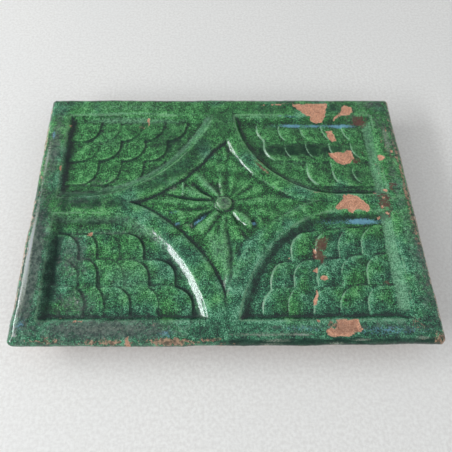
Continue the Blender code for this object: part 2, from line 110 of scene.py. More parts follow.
# Grooves cut between them: (x, y, half width, depth).
GROOVES = (
    ((-7.5, 5.2, 1.3, 1.6), (-14, 10.5, 2.0, 2.2), (-21, 16.5, 2.4, 2.2), (-24.5, 20.5, 2.0, 1.4)),
    ((-3.2, 10, 1.2, 1.0), (-4.4, 16, 2.3, 1.6), (-5.0, 20, 1.8, 0.8)),
    ((-8, 4.4, 1.0, 1.2), (-20, 4.8, 1.4, 1.7), (-30, 6.0, 1.6, 1.8), (-40, 8.0, 1.6, 1.6), (-48, 10.2, 1.4, 1.2)),
    ((-8, -2.4, 1.2, 1.3), (-20, -3.2, 1.8, 1.5), (-32, -3.6, 1.8, 1.3), (-43, -6.5, 1.6, 1.1)),
    ((-9.5, -4.8, 1.6, 1.8), (-16, -9, 2.8, 2.6), (-22, -14, 2.8, 2.6), (-25, -20, 2.0, 1.8)),
    ((-3.5, -11, 1.2, 1.2), (-9, -18.5, 1.6, 1.5), (-17, -26.5, 1.8, 1.4), (-21.5, -31, 1.5, 0.8)),
    ((-9.5, -30.5, 1.2, 0.9), (-14, -33, 1.7, 1.4), (-20.5, -36.5, 1.5, 1.0)),
    ((0.8, -16, 1.2, 1.0), (2.2, -26, 2.0, 1.7), (3.8, -37, 2.4, 1.8), (4.2, -48, 2.2, 1.5), (3.2, -62, 1.4, 1.0)),
    ((6.2, -8.5, 1.0, 1.2), (10.5, -15.8, 1.6, 2.0), (18, -21, 1.8, 1.7)),
    ((22.8, -13.5, 2.0, 2.2), (23.6, -18, 2.4, 2.4)),
    ((12.6, -22.5, 1.4, 1.3), (18.3, -30.5, 1.9, 1.8)),
    ((8, -2.8, 1.3, 1.3), (19.5, -4.4, 1.7, 1.6), (28, -8.2, 1.8, 1.6), (33.5, -15.5, 1.6, 1.2)),
    ((36.5, 3.5, 1.0, 0.7), (40.5, -1.0, 1.4, 1.1), (44, -6.5, 1.2, 0.8)),
    ((2.4, 9, 1.4, 1.2), (3.0, 24, 2.0, 1.4), (3.6, 42, 1.8, 1.1)),
    ((4.0, 44, 1.6, 1.0), (5.6, 54, 1.9, 1.6)),
    ((-8.5, 44, 1.2, 0.5), (-2.5, 41, 1.6, 1.0)),
    ((6, 9, 1.1, 0.9), (13, 21, 1.6, 1.2), (17, 31, 1.6, 0.8)),
    ((10, 8, 1.1, 0.8), (22, 16.5, 1.5, 1.0), (33, 24, 1.6, 0.8)),
    ((8, 3.8, 1.1, 0.8), (22, 6.4, 1.5, 1.0), (37, 10.6, 1.6, 0.8)),
    ((-27.2, -15.4, 1.0, 1.2), (-36, -18.6, 1.6, 1.6)),
)


# ---- tools ------------------------------------------------------------------------------------
def noise(x, y, size, seed):
    """Smooth noise between -1 and 1 with features about size millimetres wide."""
    table = np.random.default_rng(seed).uniform(-1, 1, (97, 89))
    u, v = x / size + 1000.37 + seed * 3.17, y / size + 1000.71 + seed * 1.93
    i, j = np.floor(u).astype(int), np.floor(v).astype(int)
    fu, fv = u - i, v - j
    fu, fv = fu ** 3 * (fu * (fu * 6 - 15) + 10), fv ** 3 * (fv * (fv * 6 - 15) + 10)
    i0, i1, j0, j1 = i % 97, (i + 1) % 97, j % 89, (j + 1) % 89
    a = table[i0, j0] * (1 - fu) + table[i1, j0] * fu
    b = table[i0, j1] * (1 - fu) + table[i1, j1] * fu
    return a * (1 - fv) + b * fv


def arc_distance(x, y, sign, arc):
    """Distance from a rib's arc, positive towards the middle of the tile."""
    cx, cy, a, b, n = arc
    u = np.clip(cx - sign[0] * x, 0, None) / a
    v = np.clip(cy - sign[1] * y, 0, None) / b
    slope = np.hypot(n * u ** (n - 1) / a, n * v ** (n - 1) / b)
    return (u ** n + v ** n - 1) / np.maximum(slope, 0.004)


def soft_min(a, b, k):
    h = np.clip(0.5 + 0.5 * (b - a) / k, 0, 1)
    return b + (a - b) * h - k * h * (1 - h)


def step(x, low, high):
    t = np.clip((x - low) / (high - low), 0, 1)
    return t * t * (3 - 2 * t)


def soften(z, sigma):
    n = int(3 * sigma) + 1
    k = np.exp(-0.5 * (np.arange(-n, n + 1) / sigma) ** 2)
    k /= k.sum()
    p = np.pad(z, n, mode="edge")
    p = sum(k[i] * p[i:i + z.shape[0], :] for i in range(2 * n + 1))
    return sum(k[i] * p[:, i:i + z.shape[1]] for i in range(2 * n + 1))


def hollow_wall(d, run, depth, power):
    return -depth * (1 - (1 - np.clip(d / run, 0, 1)) ** power)


# ---- relief -----------------------------------------------------------------------------------
def scale_relief(u, v, rows, seed):
    """Overlapping scales: each climbs from its root to its free edges and drops to the next."""
    rng = np.random.default_rng(seed)
    z = np.zeros_like(u)
    for row, (free_v, tilt, sides) in enumerate(rows):
        for col, side in enumerate(sides):
            pitch = 19.0 if col == 0 else side - sides[col - 1]
            lift, du, dv = rng.uniform(-0.15, 0.2), rng.uniform(-0.4, 0.4), rng.uniform(-0.5, 0.5)
            a = (u - du - (side - pitch)) / pitch
            b = (v - dv - (free_v - tilt * (u - 60.0) - SCALE_HEIGHT)) / SCALE_HEIGHT
            if row == 0:
                b = np.maximum(b, 0)
            if col == 0:
                a = np.maximum(a, 0)
            nose = np.clip((a - 0.22) / 0.78, 0, None) ** 2.1 + np.clip((b - 0.25) / 0.75, 0, None) ** 2.1
            here = (nose <= 1) & (a > -0.75) & (b > -0.7)
            a0, b0 = np.clip(a, 0, 1), np.clip(b, 0, 1)
            crown = (0.5 - 0.5 * np.cos(2 * np.pi * a0)) * (0.5 - 0.5 * np.cos(2 * np.pi * b0))
            top = 0.95 * np.clip(a, -0.6, 1) + 1.05 * np.clip(b, -0.6, 1) + 0.55 * crown + lift
            z = np.where(here, np.maximum(z, top), z)
    return z


def stroke(x, y, points, power):
    """Height of a bent ridge whose width and height change along it."""
    z = np.zeros_like(x)
    for (ax, ay, aw, ah), (bx, by, bw, bh) in zip(points[:-1], points[1:]):
        dx, dy = bx - ax, by - ay
        t = np.clip(((x - ax) * dx + (y - ay) * dy) / (dx * dx + dy * dy), 0, 1)
        off = np.hypot(x - ax - t * dx, y - ay - t * dy) / (1.15 * (aw + (bw - aw) * t))
        z = np.maximum(z, (ah + (bh - ah) * t) * np.clip(1 - off ** power, 0, 1))
    return z


def rosette_relief(x, y):
    px, py = x - BOSS_X, y - BOSS_Y
    r = np.hypot(px, py)
    z = np.zeros_like(x)
    near = (np.abs(x) < 72) & (np.abs(y) < 82)
    nx, ny = x[near], y[near]
    leaf = 0.35 + 0.25 * noise(nx, ny, 7, 45) + 0.25 * np.clip(1 - np.hypot(nx, ny) / 60, 0, 1)
    for power, points in LEAVES:
        leaf = np.maximum(leaf, 0.3 + 0.8 * stroke(nx, ny, points, power))
    for k, points in enumerate(GROOVES):
        leaf = leaf - (0.22 if k in (11, 12, 16, 17, 18) else 0.42) * stroke(nx, ny, points, 1.8)
    # veins that fan out over the leaves
    angle = np.arctan2(ny - BOSS_Y, nx - BOSS_X)
    leaf = leaf + 0.05 * np.sin(angle * 38 + 2.5 * noise(nx, ny, 12, 46)) * step(np.hypot(nx, ny), 10, 26)
    z[near] = leaf
    z = z * np.clip((r - BOSS_R + 0.6) / 2.6, 0, 1) ** 0.7
    dome = 2.5 + 1.9 * np.sqrt(np.clip(1 - (r / BOSS_R) ** 2, 0, 1)) - 0.75 * np.exp(-((px - 0.8) ** 2 + (py - 1.2) ** 2) / 5.0)
    return np.where(r < BOSS_R, np.maximum(z, dome), z)


def star_distance(x, y):
    """Distance into the star hollow; its upper tip is cut off flatter on the left."""
    d = 0.597 * (x - 4.2) - 0.803 * (y - 63.8)
    for sign, _panel, arc in RIBS.values():
        d = soft_min(d, arc_distance(x, y, sign, arc), 1.0)
    return d


def star_share(x, y):
    """The same distance as a share of how far each wall of the hollow runs in."""
    d = (0.597 * (x - 4.2) - 0.803 * (y - 63.8)) / STAR_RUN
    for name, (sign, _panel, arc) in RIBS.items():
        d = soft_min(d, arc_distance(x, y, sign, arc) / STAR_RUNS[name], 0.35)
    return d


def panel_distance(x, y, name):
    """Distance into a panel, the same as a share of its moulding's run, and both corner distances."""
    sign, arc, _star = RIBS[name]
    u = x - PANEL_LEFT if sign[0] < 0 else PANEL_RIGHT - x
    v = PANEL_TOP - y if sign[1] > 0 else y - PANEL_BOTTOM
    w = -arc_distance(x, y, sign, arc)
    side, level, curve = PANEL_RUNS[name]
    share = soft_min(soft_min(u / side, v / level, 0.3), w / curve, 0.3)
    return soft_min(soft_min(u, v, 2.5), w, 2.0), share, u, v


def face_relief(x, y):
    z = np.zeros_like(x)
    nearest = np.full_like(x, 99.0)
    for k, name in enumerate(RIBS):
        d, share, u, v = panel_distance(x, y, name)
        wall = hollow_wall(share, 1.0, PANEL_DEPTH, 1.75)
        scales = scale_relief(u, v, SCALE_ROWS[name], 40 + k)
        floor = np.minimum(-PANEL_DEPTH + scales, wall + scales * np.clip((share - 0.45) / 0.5, 0, 1))
        z = np.where(d > 0, np.maximum(wall, floor), z)
        nearest = np.minimum(nearest, -d)
    star = star_distance(x, y)
    sunk = hollow_wall(star_share(x, y), 1.0, STAR_DEPTH, 1.6) + rosette_relief(x, y) * np.clip((star - 0.8) / 2.2, 0, 1)
    z = np.where(star > 0, np.minimum(sunk, 1.0), z)
    nearest = np.minimum(nearest, -star)
    # shoulders of the ribs and of the frame are rounded over
    shoulder = np.clip(1 - nearest / 4.5, 0, 1)
    return np.where(nearest > 0, -0.75 * shoulder ** 2.2, z - 0.75 * np.clip(1 + nearest / 3.0, 0, 1))


# ---- broken glaze -----------------------------------------------------------------------------
CHIPS = (
    ((63.4, 101.3), (77.1, 102.4), (95, 102.9), (94.5, 99.2), (92.9, 95), (91.8, 89.2), (88.7, 84.5),
     (84.5, 83.4), (79.2, 85.5), (78.2, 89.2), (71.8, 91.3), (68.7, 95), (64.5, 99.2)),
    ((107.5, 98.6), (110.6, 100.6), (114.2, 100.2), (116.8, 97.2), (116.6, 92.8), (113.6, 90.4), (109.4, 90.6),
     (105.5, 89.4), (99.6, 86.6), (99.9, 88.6), (105.2, 92.4), (106.8, 95.6)),
    ((35.5, 100.0), (38.6, 99.9), (38.8, 101.2), (35.4, 101.3)),
    ((42.0, 100.6), (53.0, 101.0), (52.6, 102.2), (42.4, 101.9)),
    ((90.3, 75), (96.1, 74.5), (98.2, 69.7), (98.7, 63.4), (95.5, 62.4), (92.9, 65.5), (91.3, 70.8)),
    ((90.8, 51.3), (104.5, 51.8), (106.6, 54.5), (109.7, 53.9), (111.3, 49.7), (111.8, 46.1), (107.6, 41.3),
     (102.4, 39.7), (97.1, 41.8), (91.8, 46.6)),
    ((130.6, 41.8), (134.2, 41.0), (135.8, 44.6), (133.8, 47.8), (130.8, 47.2)),
    ((88.7, -1.8), (95, 3.4), (95.5, 7.6), (100.3, 8.7), (106.6, 7.1), (110.8, 2.4), (115, -1.8), (115.5, -5.5),
     (112.9, -7.6), (108.7, -5.5), (104.5, -5.5), (101.3, -7.6), (98.7, -8.2), (97.1, -5), (89.7, -5.5), (88.2, -4.5)),
    ((67.5, -104.5), (68.5, -100.5), (71.5, -98.5), (73.5, -100), (75.5, -98), (76, -93.5), (80, -92.5), (85, -93),
     (89.5, -92), (92, -93), (92, -97), (93.8, -100), (91.5, -102), (87, -102.5), (85, -104.5), (76, -105), (69, -105)),
    ((-70.6, -103.6), (-68.8, -103.8), (-68.2, -108.5), (-65.5, -111.5), (-70, -111), (-71.4, -106.5)),
    ((66.1, -70.3), (63.9, -75), (62.4, -79.2), (62.4, -81.8), (63.9, -81.8), (66.1, -77.1), (67.1, -72.9)),
    ((-66.2, 84.8), (-63.9, 84.6), (-63.6, 87.2), (-66.0, 87.4)),
    ((-107.5, -93.9), (-101.5, -93.9), (-101.5, -92.9), (-107.5, -92.9)),
    ((-106.2, -26.4), (-103.2, -26.0), (-103.0, -23.6), (-105.6, -23.4)),
)
# Smaller bare spots: (x, y, half width, half height).
SPOTS = (
    (67.1, -55.5, 1.6, 1.9), (72.4, -61.3, 2.6, 1.8), (67.9, -40.0, 0.7, 4.2), (63.9, -93.9, 1.2, 1.0),
    (142.4, 72.9, 0.9, 2.4), (143.4, 50.3, 1.5, 1.8), (-132.4, 78.7, 0.7, 2.4), (-134.5, 33.9, 0.9, 2.4),
    (-64.8, 82.0, 0.8, 1.6), (48.2, -45.0, 0.6, 0.6), (123.0, 11.0, 1.2, 1.0), (127.5, 5.0, 1.5, 1.1),
    (125.0, -3.0, 1.3, 1.6), (129.5, -8.0, 1.6, 1.2), (122.5, -11.0, 1.0, 0.9), (131.0, 12.5, 1.1, 0.9),
)
# Stains: (x, y, half width, half height, turn in degrees, strength). The blue marks also paint a sky sheen on walls
# facing the front, and the pale marks paint highlights along the left rounded edge and on a few glaze edges besides
# wear.
RED = ((31.5, 34.0, 10.0, 1.8, -47, 1.05), (62.0, 17.0, 18.0, 1.1, -30, 0.62), (142.0, 46.0, 3.5, 12.0, 0, 0.6), (136.0, 16.0, 5.0, 7.0, 0, 0.75), (146.5, -20.0, 3.0, 16.0, 0, 0.45), (112.4, 42.4, 4.0, 4.2, 0, 1.0), (73.5, -34.5, 6.5, 6.5, 0, 1.15), (70.5, -43.5, 5.5, 7.0, 20, 1.1),
       (76.0, -29.0, 3.0, 3.0, 0, 0.8), (119.2, -65.0, 5.0, 2.0, -10, 0.9), (122.0, 84.0, 8.0, 6.5, 0, 1.05),
       (128.0, 1.0, 7.0, 14.0, 0, 0.9), (72.0, -91.8, 4.0, 1.3, 0, 0.9), (104.0, 62.0, 6.0, 3.0, 30, 0.4),
       (34.0, 38.0, 9.0, 1.4, -43, 0.7), (86.0, -3.0, 6.0, 1.6, 10, 0.5), (87.3, -96.4, 1.6, 1.2, 0, 0.8),
       (119.0, 50.0, 3.0, 8.0, 0, 0.35), (131.0, 38.0, 3.0, 8.0, 0, 0.45), (70.8, -102.0, 2.0, 2.0, 0, 0.5),
       (-78.0, -99.0, 6.0, 1.5, 0, 0.35), (-97.6, -100.3, 3.0, 2.2, 0, 0.5), (112.0, 88.0, 6.0, 3.0, 0, 0.5))
BROWN = ((83.0, -98.0, 12.0, 9.0, 0, 0.42), (88.7, -98.5, 0.7, 6.5, 3, 1.2), (33.0, 32.0, 6.0, 1.2, -47, 0.95), (-69.2, -107.6, 0.6, 3.5, 12, 1.3), (147.0, -105.0, 6.0, 4.0, 0, 0.85), (130.0, -97.0, 4.0, 4.5, 0, 0.5), (138.0, 60.0, 4.0, 24.0, 0, 0.42), (131.0, 28.0, 4.0, 22.0, 0, 0.4), (146.0, -106.0, 6.0, 5.0, 30, 0.62), (147.0, 20.0, 2.5, 90.0, 0, 0.75), (-70.8, 78.0, 3.0, 2.0, 0, 0.8),
         (-148.7, -103.5, 4.0, 3.0, 0, 0.5), (-148.8, 0.0, 1.6, 100.0, 0, 0.55), (-40.0, -107.6, 20.0, 2.4, 0, 1.05), (-82.0, -107.8, 26.0, 2.6, 0, 0.78), (-128.0, -106.5, 16.0, 2.4, 0, 0.62),
         (-12.0, -106.8, 12.0, 1.6, 0, 0.7), (118.0, -106.5, 22.0, 2.2, 0, 0.55),
         (-8.7, -105.5, 5.0, 1.2, 0, 0.7), (-52.9, -95.5, 6.0, 3.5, 0, 0.45), (30.0, -108.8, 60.0, 0.9, 0, 0.7),
         (61.0, 102.6, 14.0, 1.2, 0, 0.7), (0.0, 108.6, 150.0, 1.2, 0, 0.5), (100.0, -108.8, 40.0, 1.2, 0, 0.6),
         (76.0, 10.4, 6.0, 0.7, 9, 0.9), (32.0, 40.0, 8.0, 0.9, -43, 0.9), (-49.7, -108.7, 3.0, 1.5, 0, 1.0),
         (-70.0, -106.5, 1.2, 4.0, 30, 0.8), (136.0, -99.0, 5.0, 6.0, 20, 0.5), (132.0, -94.0, 3.0, 2.5, 0, 0.6),
         (-118.0, -90.5, 12.0, 1.0, 0, 0.4), (80.0, -99.0, 13.0, 6.5, 0, 0.8), (71.0, -96.0, 4.0, 6.0, 0, 0.6))
# blue glaze, with a painted sky sheen on walls that face the front
BLUE_GLAZE_AND_PAINTED_SHEEN = ((62.0, 80.6, 12.0, 1.9, 0, 1.1), (82.0, 80.4, 5.0, 1.7, 0, 1.1), (105.0, 80.0, 13.0, 2.0, 0, 1.2),
        (80.0, 80.2, 42.0, 2.4, 0, 0.6), (60.0, 89.0, 16.0, 1.2, 0, 0.5), (108.0, -14.2, 14.0, 2.4, 0, 1.3),
        (100.0, -14.6, 32.0, 2.6, 0, 0.5), (112.0, -101.0, 30.0, 3.6, 0, 0.5), (52.0, -99.5, 22.0, 2.6, 0, 0.4), (-145.0, 67.6, 1.8, 5.0, 0, 0.8),
        (-144.5, -96.0, 3.0, 6.0, 0, 0.6), (-37.0, -17.0, 3.0, 1.5, 25, 0.7), (22.5, -16.5, 2.0, 1.6, 0, 1.0),
        (-20.0, -13.5, 8.0, 2.0, 42, 0.7), (-43.4, -102.4, 6.0, 3.6, 0, 0.5), (-40.0, -6.5, 6.0, 1.6, 10, 0.5))
# pale wear, with painted highlights along the left rounded edge and on a few glaze edges
PALE_WEAR_AND_PAINTED_HIGHLIGHT = ((-147.0, -40.0, 2.4, 52.0, 0, 0.85), (-147.0, 42.0, 2.0, 34.0, 0, 0.7), (51.0, -103.5, 12.0, 1.8, 0, 0.7), (24.0, -104.0, 10.0, 1.5, 0, 0.62), (75.0, -109.0, 9.0, 1.4, 0, 0.62), (30.0, -109.3, 14.0, 1.2, 0, 0.58), (134.0, -106.0, 9.0, 2.2, 0, 0.6), (-60.0, -107.0, 30.0, 1.2, 0, 0.42), (-144.0, 10.0, 5.0, 90.0, 0, 0.42), (-85.0, -99.0, 60.0, 4.0, 0, 0.48), (60.0, -99.0, 60.0, 3.0, 0, 0.3),
        (141.0, 62.0, 5.0, 30.0, 0, 0.6), (140.0, -40.0, 4.0, 50.0, 0, 0.3), (-90.0, 98.0, 50.0, 4.0, 0, 0.3),
        (26.0, -103.4, 46.0, 2.2, 0, 0.6), (34.0, -107.2, 16.0, 1.0, 0, 0.75), (92.0, -107.0, 12.0, 0.9, 0, 0.75), (-108.0, -78.0, 8.0, 0.9, -55, 0.9),
        (-41.0, 14.5, 7.0, 5.0, 35, 0.5), (-33.0, 28.0, 6.0, 4.0, 40, 0.4), (18.0, 35.0, 8.0, 5.0, -40, 0.35),
        (-28.5, -18.5, 5.0, 0.8, 10, 0.7), (-26.0, -18.5, 0.7, 4.0, 0, 0.8), (-145.4, -66.0, 2.0, 36.0, 0, 0.72), (-145.6, 52.0, 1.6, 34.0, 0, 0.55), (-147.0, -103.0, 2.2, 2.0, 0, 0.9),
        (-60.0, 22.0, 30.0, 1.2, 23, 0.45), (-9.0, 68.0, 1.0, 14.0, 18, 0.35), (-90.0, -24.0, 20.0, 1.0, -4, 0.5))


# Painted shade in hollows, on the ribs and on walls turned from the light, with dark glaze patches: (x, y, half width,
# half height, turn in degrees, strength).
PAINTED_SHADE_AND_DARK_GLAZE = ((-106.0, 0.5, 36.0, 6.0, 0, 0.8), (-128.0, 1.0, 12.0, 10.0, 0, 0.85), (BOSS_X, BOSS_Y, 5.5, 5.5, 0, 0.45), (-129.5, -50.0, 3.4, 46.0, 0, 1.1), (62.0, 52.0, 30.0, 7.0, 0, 0.7), (-98.0, -14.5, 26.0, 3.0, 0, 0.8), (-60.0, 71.0, 34.0, 8.0, 0, 0.4), (-41.0, -42.0, 7.0, 2.0, -50, 0.4), (40.0, 97.0, 34.0, 8.0, 0, 0.45), (120.0, -99.0, 26.0, 7.0, 0, 0.4), (100.0, 97.0, 5.0, 5.0, 0, 0.8), (128.0, 70.0, 12.0, 6.0, 0, 0.35), (112.0, 28.0, 12.0, 10.0, 0, 0.5), (-105.0, 12.0, 24.0, 5.0, 0, 0.8), (-127.0, 9.0, 14.0, 7.0, 0, 0.6), (-143.0, -8.0, 7.0, 26.0, 0, 0.7),
        (64.0, 54.2, 44.0, 6.5, 0, 1.35), (30.0, 60.0, 9.0, 8.0, -45, 0.5), (-129.5, -55.0, 6.0, 42.0, 0, 1.25),
        (-131.0, 55.0, 5.0, 36.0, 0, 0.7), (-45.0, 42.0, 34.0, 6.0, 38, 0.6), (95.0, -89.5, 46.0, 3.5, 0, 0.4),
        (-85.0, -91.3, 50.0, 2.0, 0, 0.3), (108.0, 96.0, 30.0, 10.0, 0, 0.35), (20.0, -103.0, 26.0, 2.5, 0, 0.4),
        (-45.0, 62.0, 16.0, 16.0, 0, 0.7), (-70.0, 45.0, 6.0, 30.0, 0, 0.15), (-15.0, -100.0, 26.0, 5.0, 0, 0.3),
        (141.0, 84.0, 6.0, 22.0, 0, 0.35), (128.0, 66.0, 5.0, 22.0, 0, 0.35), (55.0, -6.0, 20.0, 3.0, 0, 0.25),
        (32.0, -34.0, 12.0, 3.0, 50, 0.3), (60.0, -13.0, 40.0, 3.0, 3, 0.4), (-60.0, 24.0, 30.0, 3.0, 24, 0.3))


# Where the glaze is thin and light, and painted light on walls, flanks and ridges that face the light.
THIN_GLAZE_AND_PAINTED_LIGHT = ((-78.0, 85.5, 48.0, 3.0, 0, 0.7), (-85.0, 98.0, 60.0, 6.0, 0, 0.42), (141.0, -20.0, 5.0, 60.0, 0, 0.5),
        (-72.0, -60.0, 34.0, 22.0, 0, 0.4), (-8.0, -38.0, 6.0, 16.0, 12, 0.6),
        (-24.0, 9.5, 9.0, 3.5, 12, 0.5), (-90.0, -23.5, 34.0, 2.0, -3, 0.5), (-60.0, -25.0, 22.0, 3.0, -22, 0.5),
        (-15.0, 78.0, 4.0, 14.0, -30, 0.5), (-40.0, 45.0, 30.0, 2.0, 42, 0.55), (-85.0, 19.0, 34.0, 1.6, 10, 0.6),
        (30.0, 88.0, 26.0, 1.2, 0, 0.6), (-80.0, 91.0, 56.0, 1.2, 0, 0.7), (60.0, 40.0, 24.0, 8.0, 0, 0.3),
        (-100.0, 64.0, 16.0, 12.0, 0, 0.3), (95.0, -94.3, 40.0, 1.2, 0, 0.6), (-85.0, -94.6, 48.0, 1.1, 0, 0.6),
        (8.0, -62.0, 3.0, 14.0, -12, 0.4), (16.0, -50.0, 4.0, 20.0, -25, 0.35), (62.0, 22.0, 16.0, 5.0, -20, 0.4))


# A dull grey-violet film on the glaze, and a painted grey reflection of the room.
FILM_AND_PAINTED_SHEEN = ((BOSS_X, BOSS_Y, 6.0, 6.0, 0, 1.1), (147.0, -45.0, 4.5, 60.0, 0, 0.75), (147.0, 62.0, 4.5, 38.0, 0, 0.75), (120.0, -99.0, 28.0, 5.0, 0, 0.7), (134.0, 101.0, 16.0, 5.0, 0, 0.8), (-143.0, -45.0, 8.0, 62.0, 0, 1.35), (-142.0, 55.0, 7.0, 42.0, 0, 0.85), (-95.0, -13.0, 30.0, 3.0, 0, 0.5), (-142.0, 55.0, 7.0, 50.0, 0, 0.75), (-116.0, 1.0, 26.0, 6.5, 0, 0.75),
        (-88.0, -99.5, 62.0, 9.0, 0, 1.0), (70.0, -99.0, 60.0, 4.0, 0, 0.45), (140.0, 20.0, 6.0, 34.0, 0, 0.55),
        (128.0, 2.0, 8.0, 14.0, 0, 0.5), (121.0, 88.0, 12.0, 9.0, 0, 0.6), (142.0, -70.0, 6.0, 34.0, 0, 0.45),
        (-118.0, -44.0, 18.0, 22.0, 0, 0.65), (-110.0, -80.0, 20.0, 12.0, 0, 0.6), (-75.0, -24.0, 36.0, 3.0, -8, 0.35),
        (-100.0, 22.0, 30.0, 4.0, 8, 0.4), (105.0, 96.0, 24.0, 9.0, 0, 0.4), (138.0, 80.0, 8.0, 22.0, 0, 0.5))


def polygon_distance(x, y, points):
    """Signed distance to a polygon's outline, positive inside."""
    p = np.array(points, float)
    q = np.roll(p, -1, axis=0)
    best = np.full(x.shape, 1e9)
    inside = np.zeros(x.shape, bool)
    for (ax, ay), (bx, by) in zip(p, q):
        dx, dy = bx - ax, by - ay
        t = np.clip(((x - ax) * dx + (y - ay) * dy) / (dx * dx + dy * dy), 0, 1)
        best = np.minimum(best, np.hypot(x - ax - t * dx, y - ay - t * dy))
        crosses = ((ay > y) != (by > y)) & (x < dx * (y - ay) / np.where(abs(dy) < 1e-9, 1e-9, dy) + ax)
        inside ^= crosses
    return np.where(inside, best, -best)


def chip_field(x, y):
    """How far inside a chip a place lies, in millimetres, with ragged outlines."""
    ragged = 0.35 * noise(x, y, 3.1, 71) + 0.6 * noise(x, y, 1.6, 72) + 0.4 * noise(x, y, 0.8, 73)
    field = np.full(x.shape, -30.0)
    for points in CHIPS:
        p = np.array(points)
        near = (x > p[:, 0].min() - 6) & (x < p[:, 0].max() + 6) & (y > p[:, 1].min() - 6) & (y < p[:, 1].max() + 6)
        field[near] = np.maximum(field[near], polygon_distance(x[near], y[near], points))
    for cx, cy, rx, ry in SPOTS:
        near = (np.abs(x - cx) < rx + 5) & (np.abs(y - cy) < ry + 5)
        d = (1 - np.hypot((x[near] - cx) / rx, (y[near] - cy) / ry)) * min(rx, ry)
        field[near] = np.maximum(field[near], d)
    return np.where(field > -25, field + ragged, field)


def blots(x, y, spots):
    out = np.zeros_like(x)
    for cx, cy, rx, ry, turn, strength in spots:
        t = math.radians(turn)
        reach = 2.2 * max(rx, ry)
        near = (np.abs(x - cx) < reach) & (np.abs(y - cy) < reach)
        dx, dy = x[near] - cx, y[near] - cy
        a, b = dx * math.cos(t) + dy * math.sin(t), -dx * math.sin(t) + dy * math.cos(t)
        out[near] = np.maximum(out[near], strength * np.exp(-((a / rx) ** 2 + (b / ry) ** 2)))
    return out


# ---- maps over the face -----------------------------------------------------------------------
CELL = 0.5
GX = np.arange(-153, 153 + CELL / 2, CELL)
GY = np.arange(-113, 113 + CELL / 2, CELL)


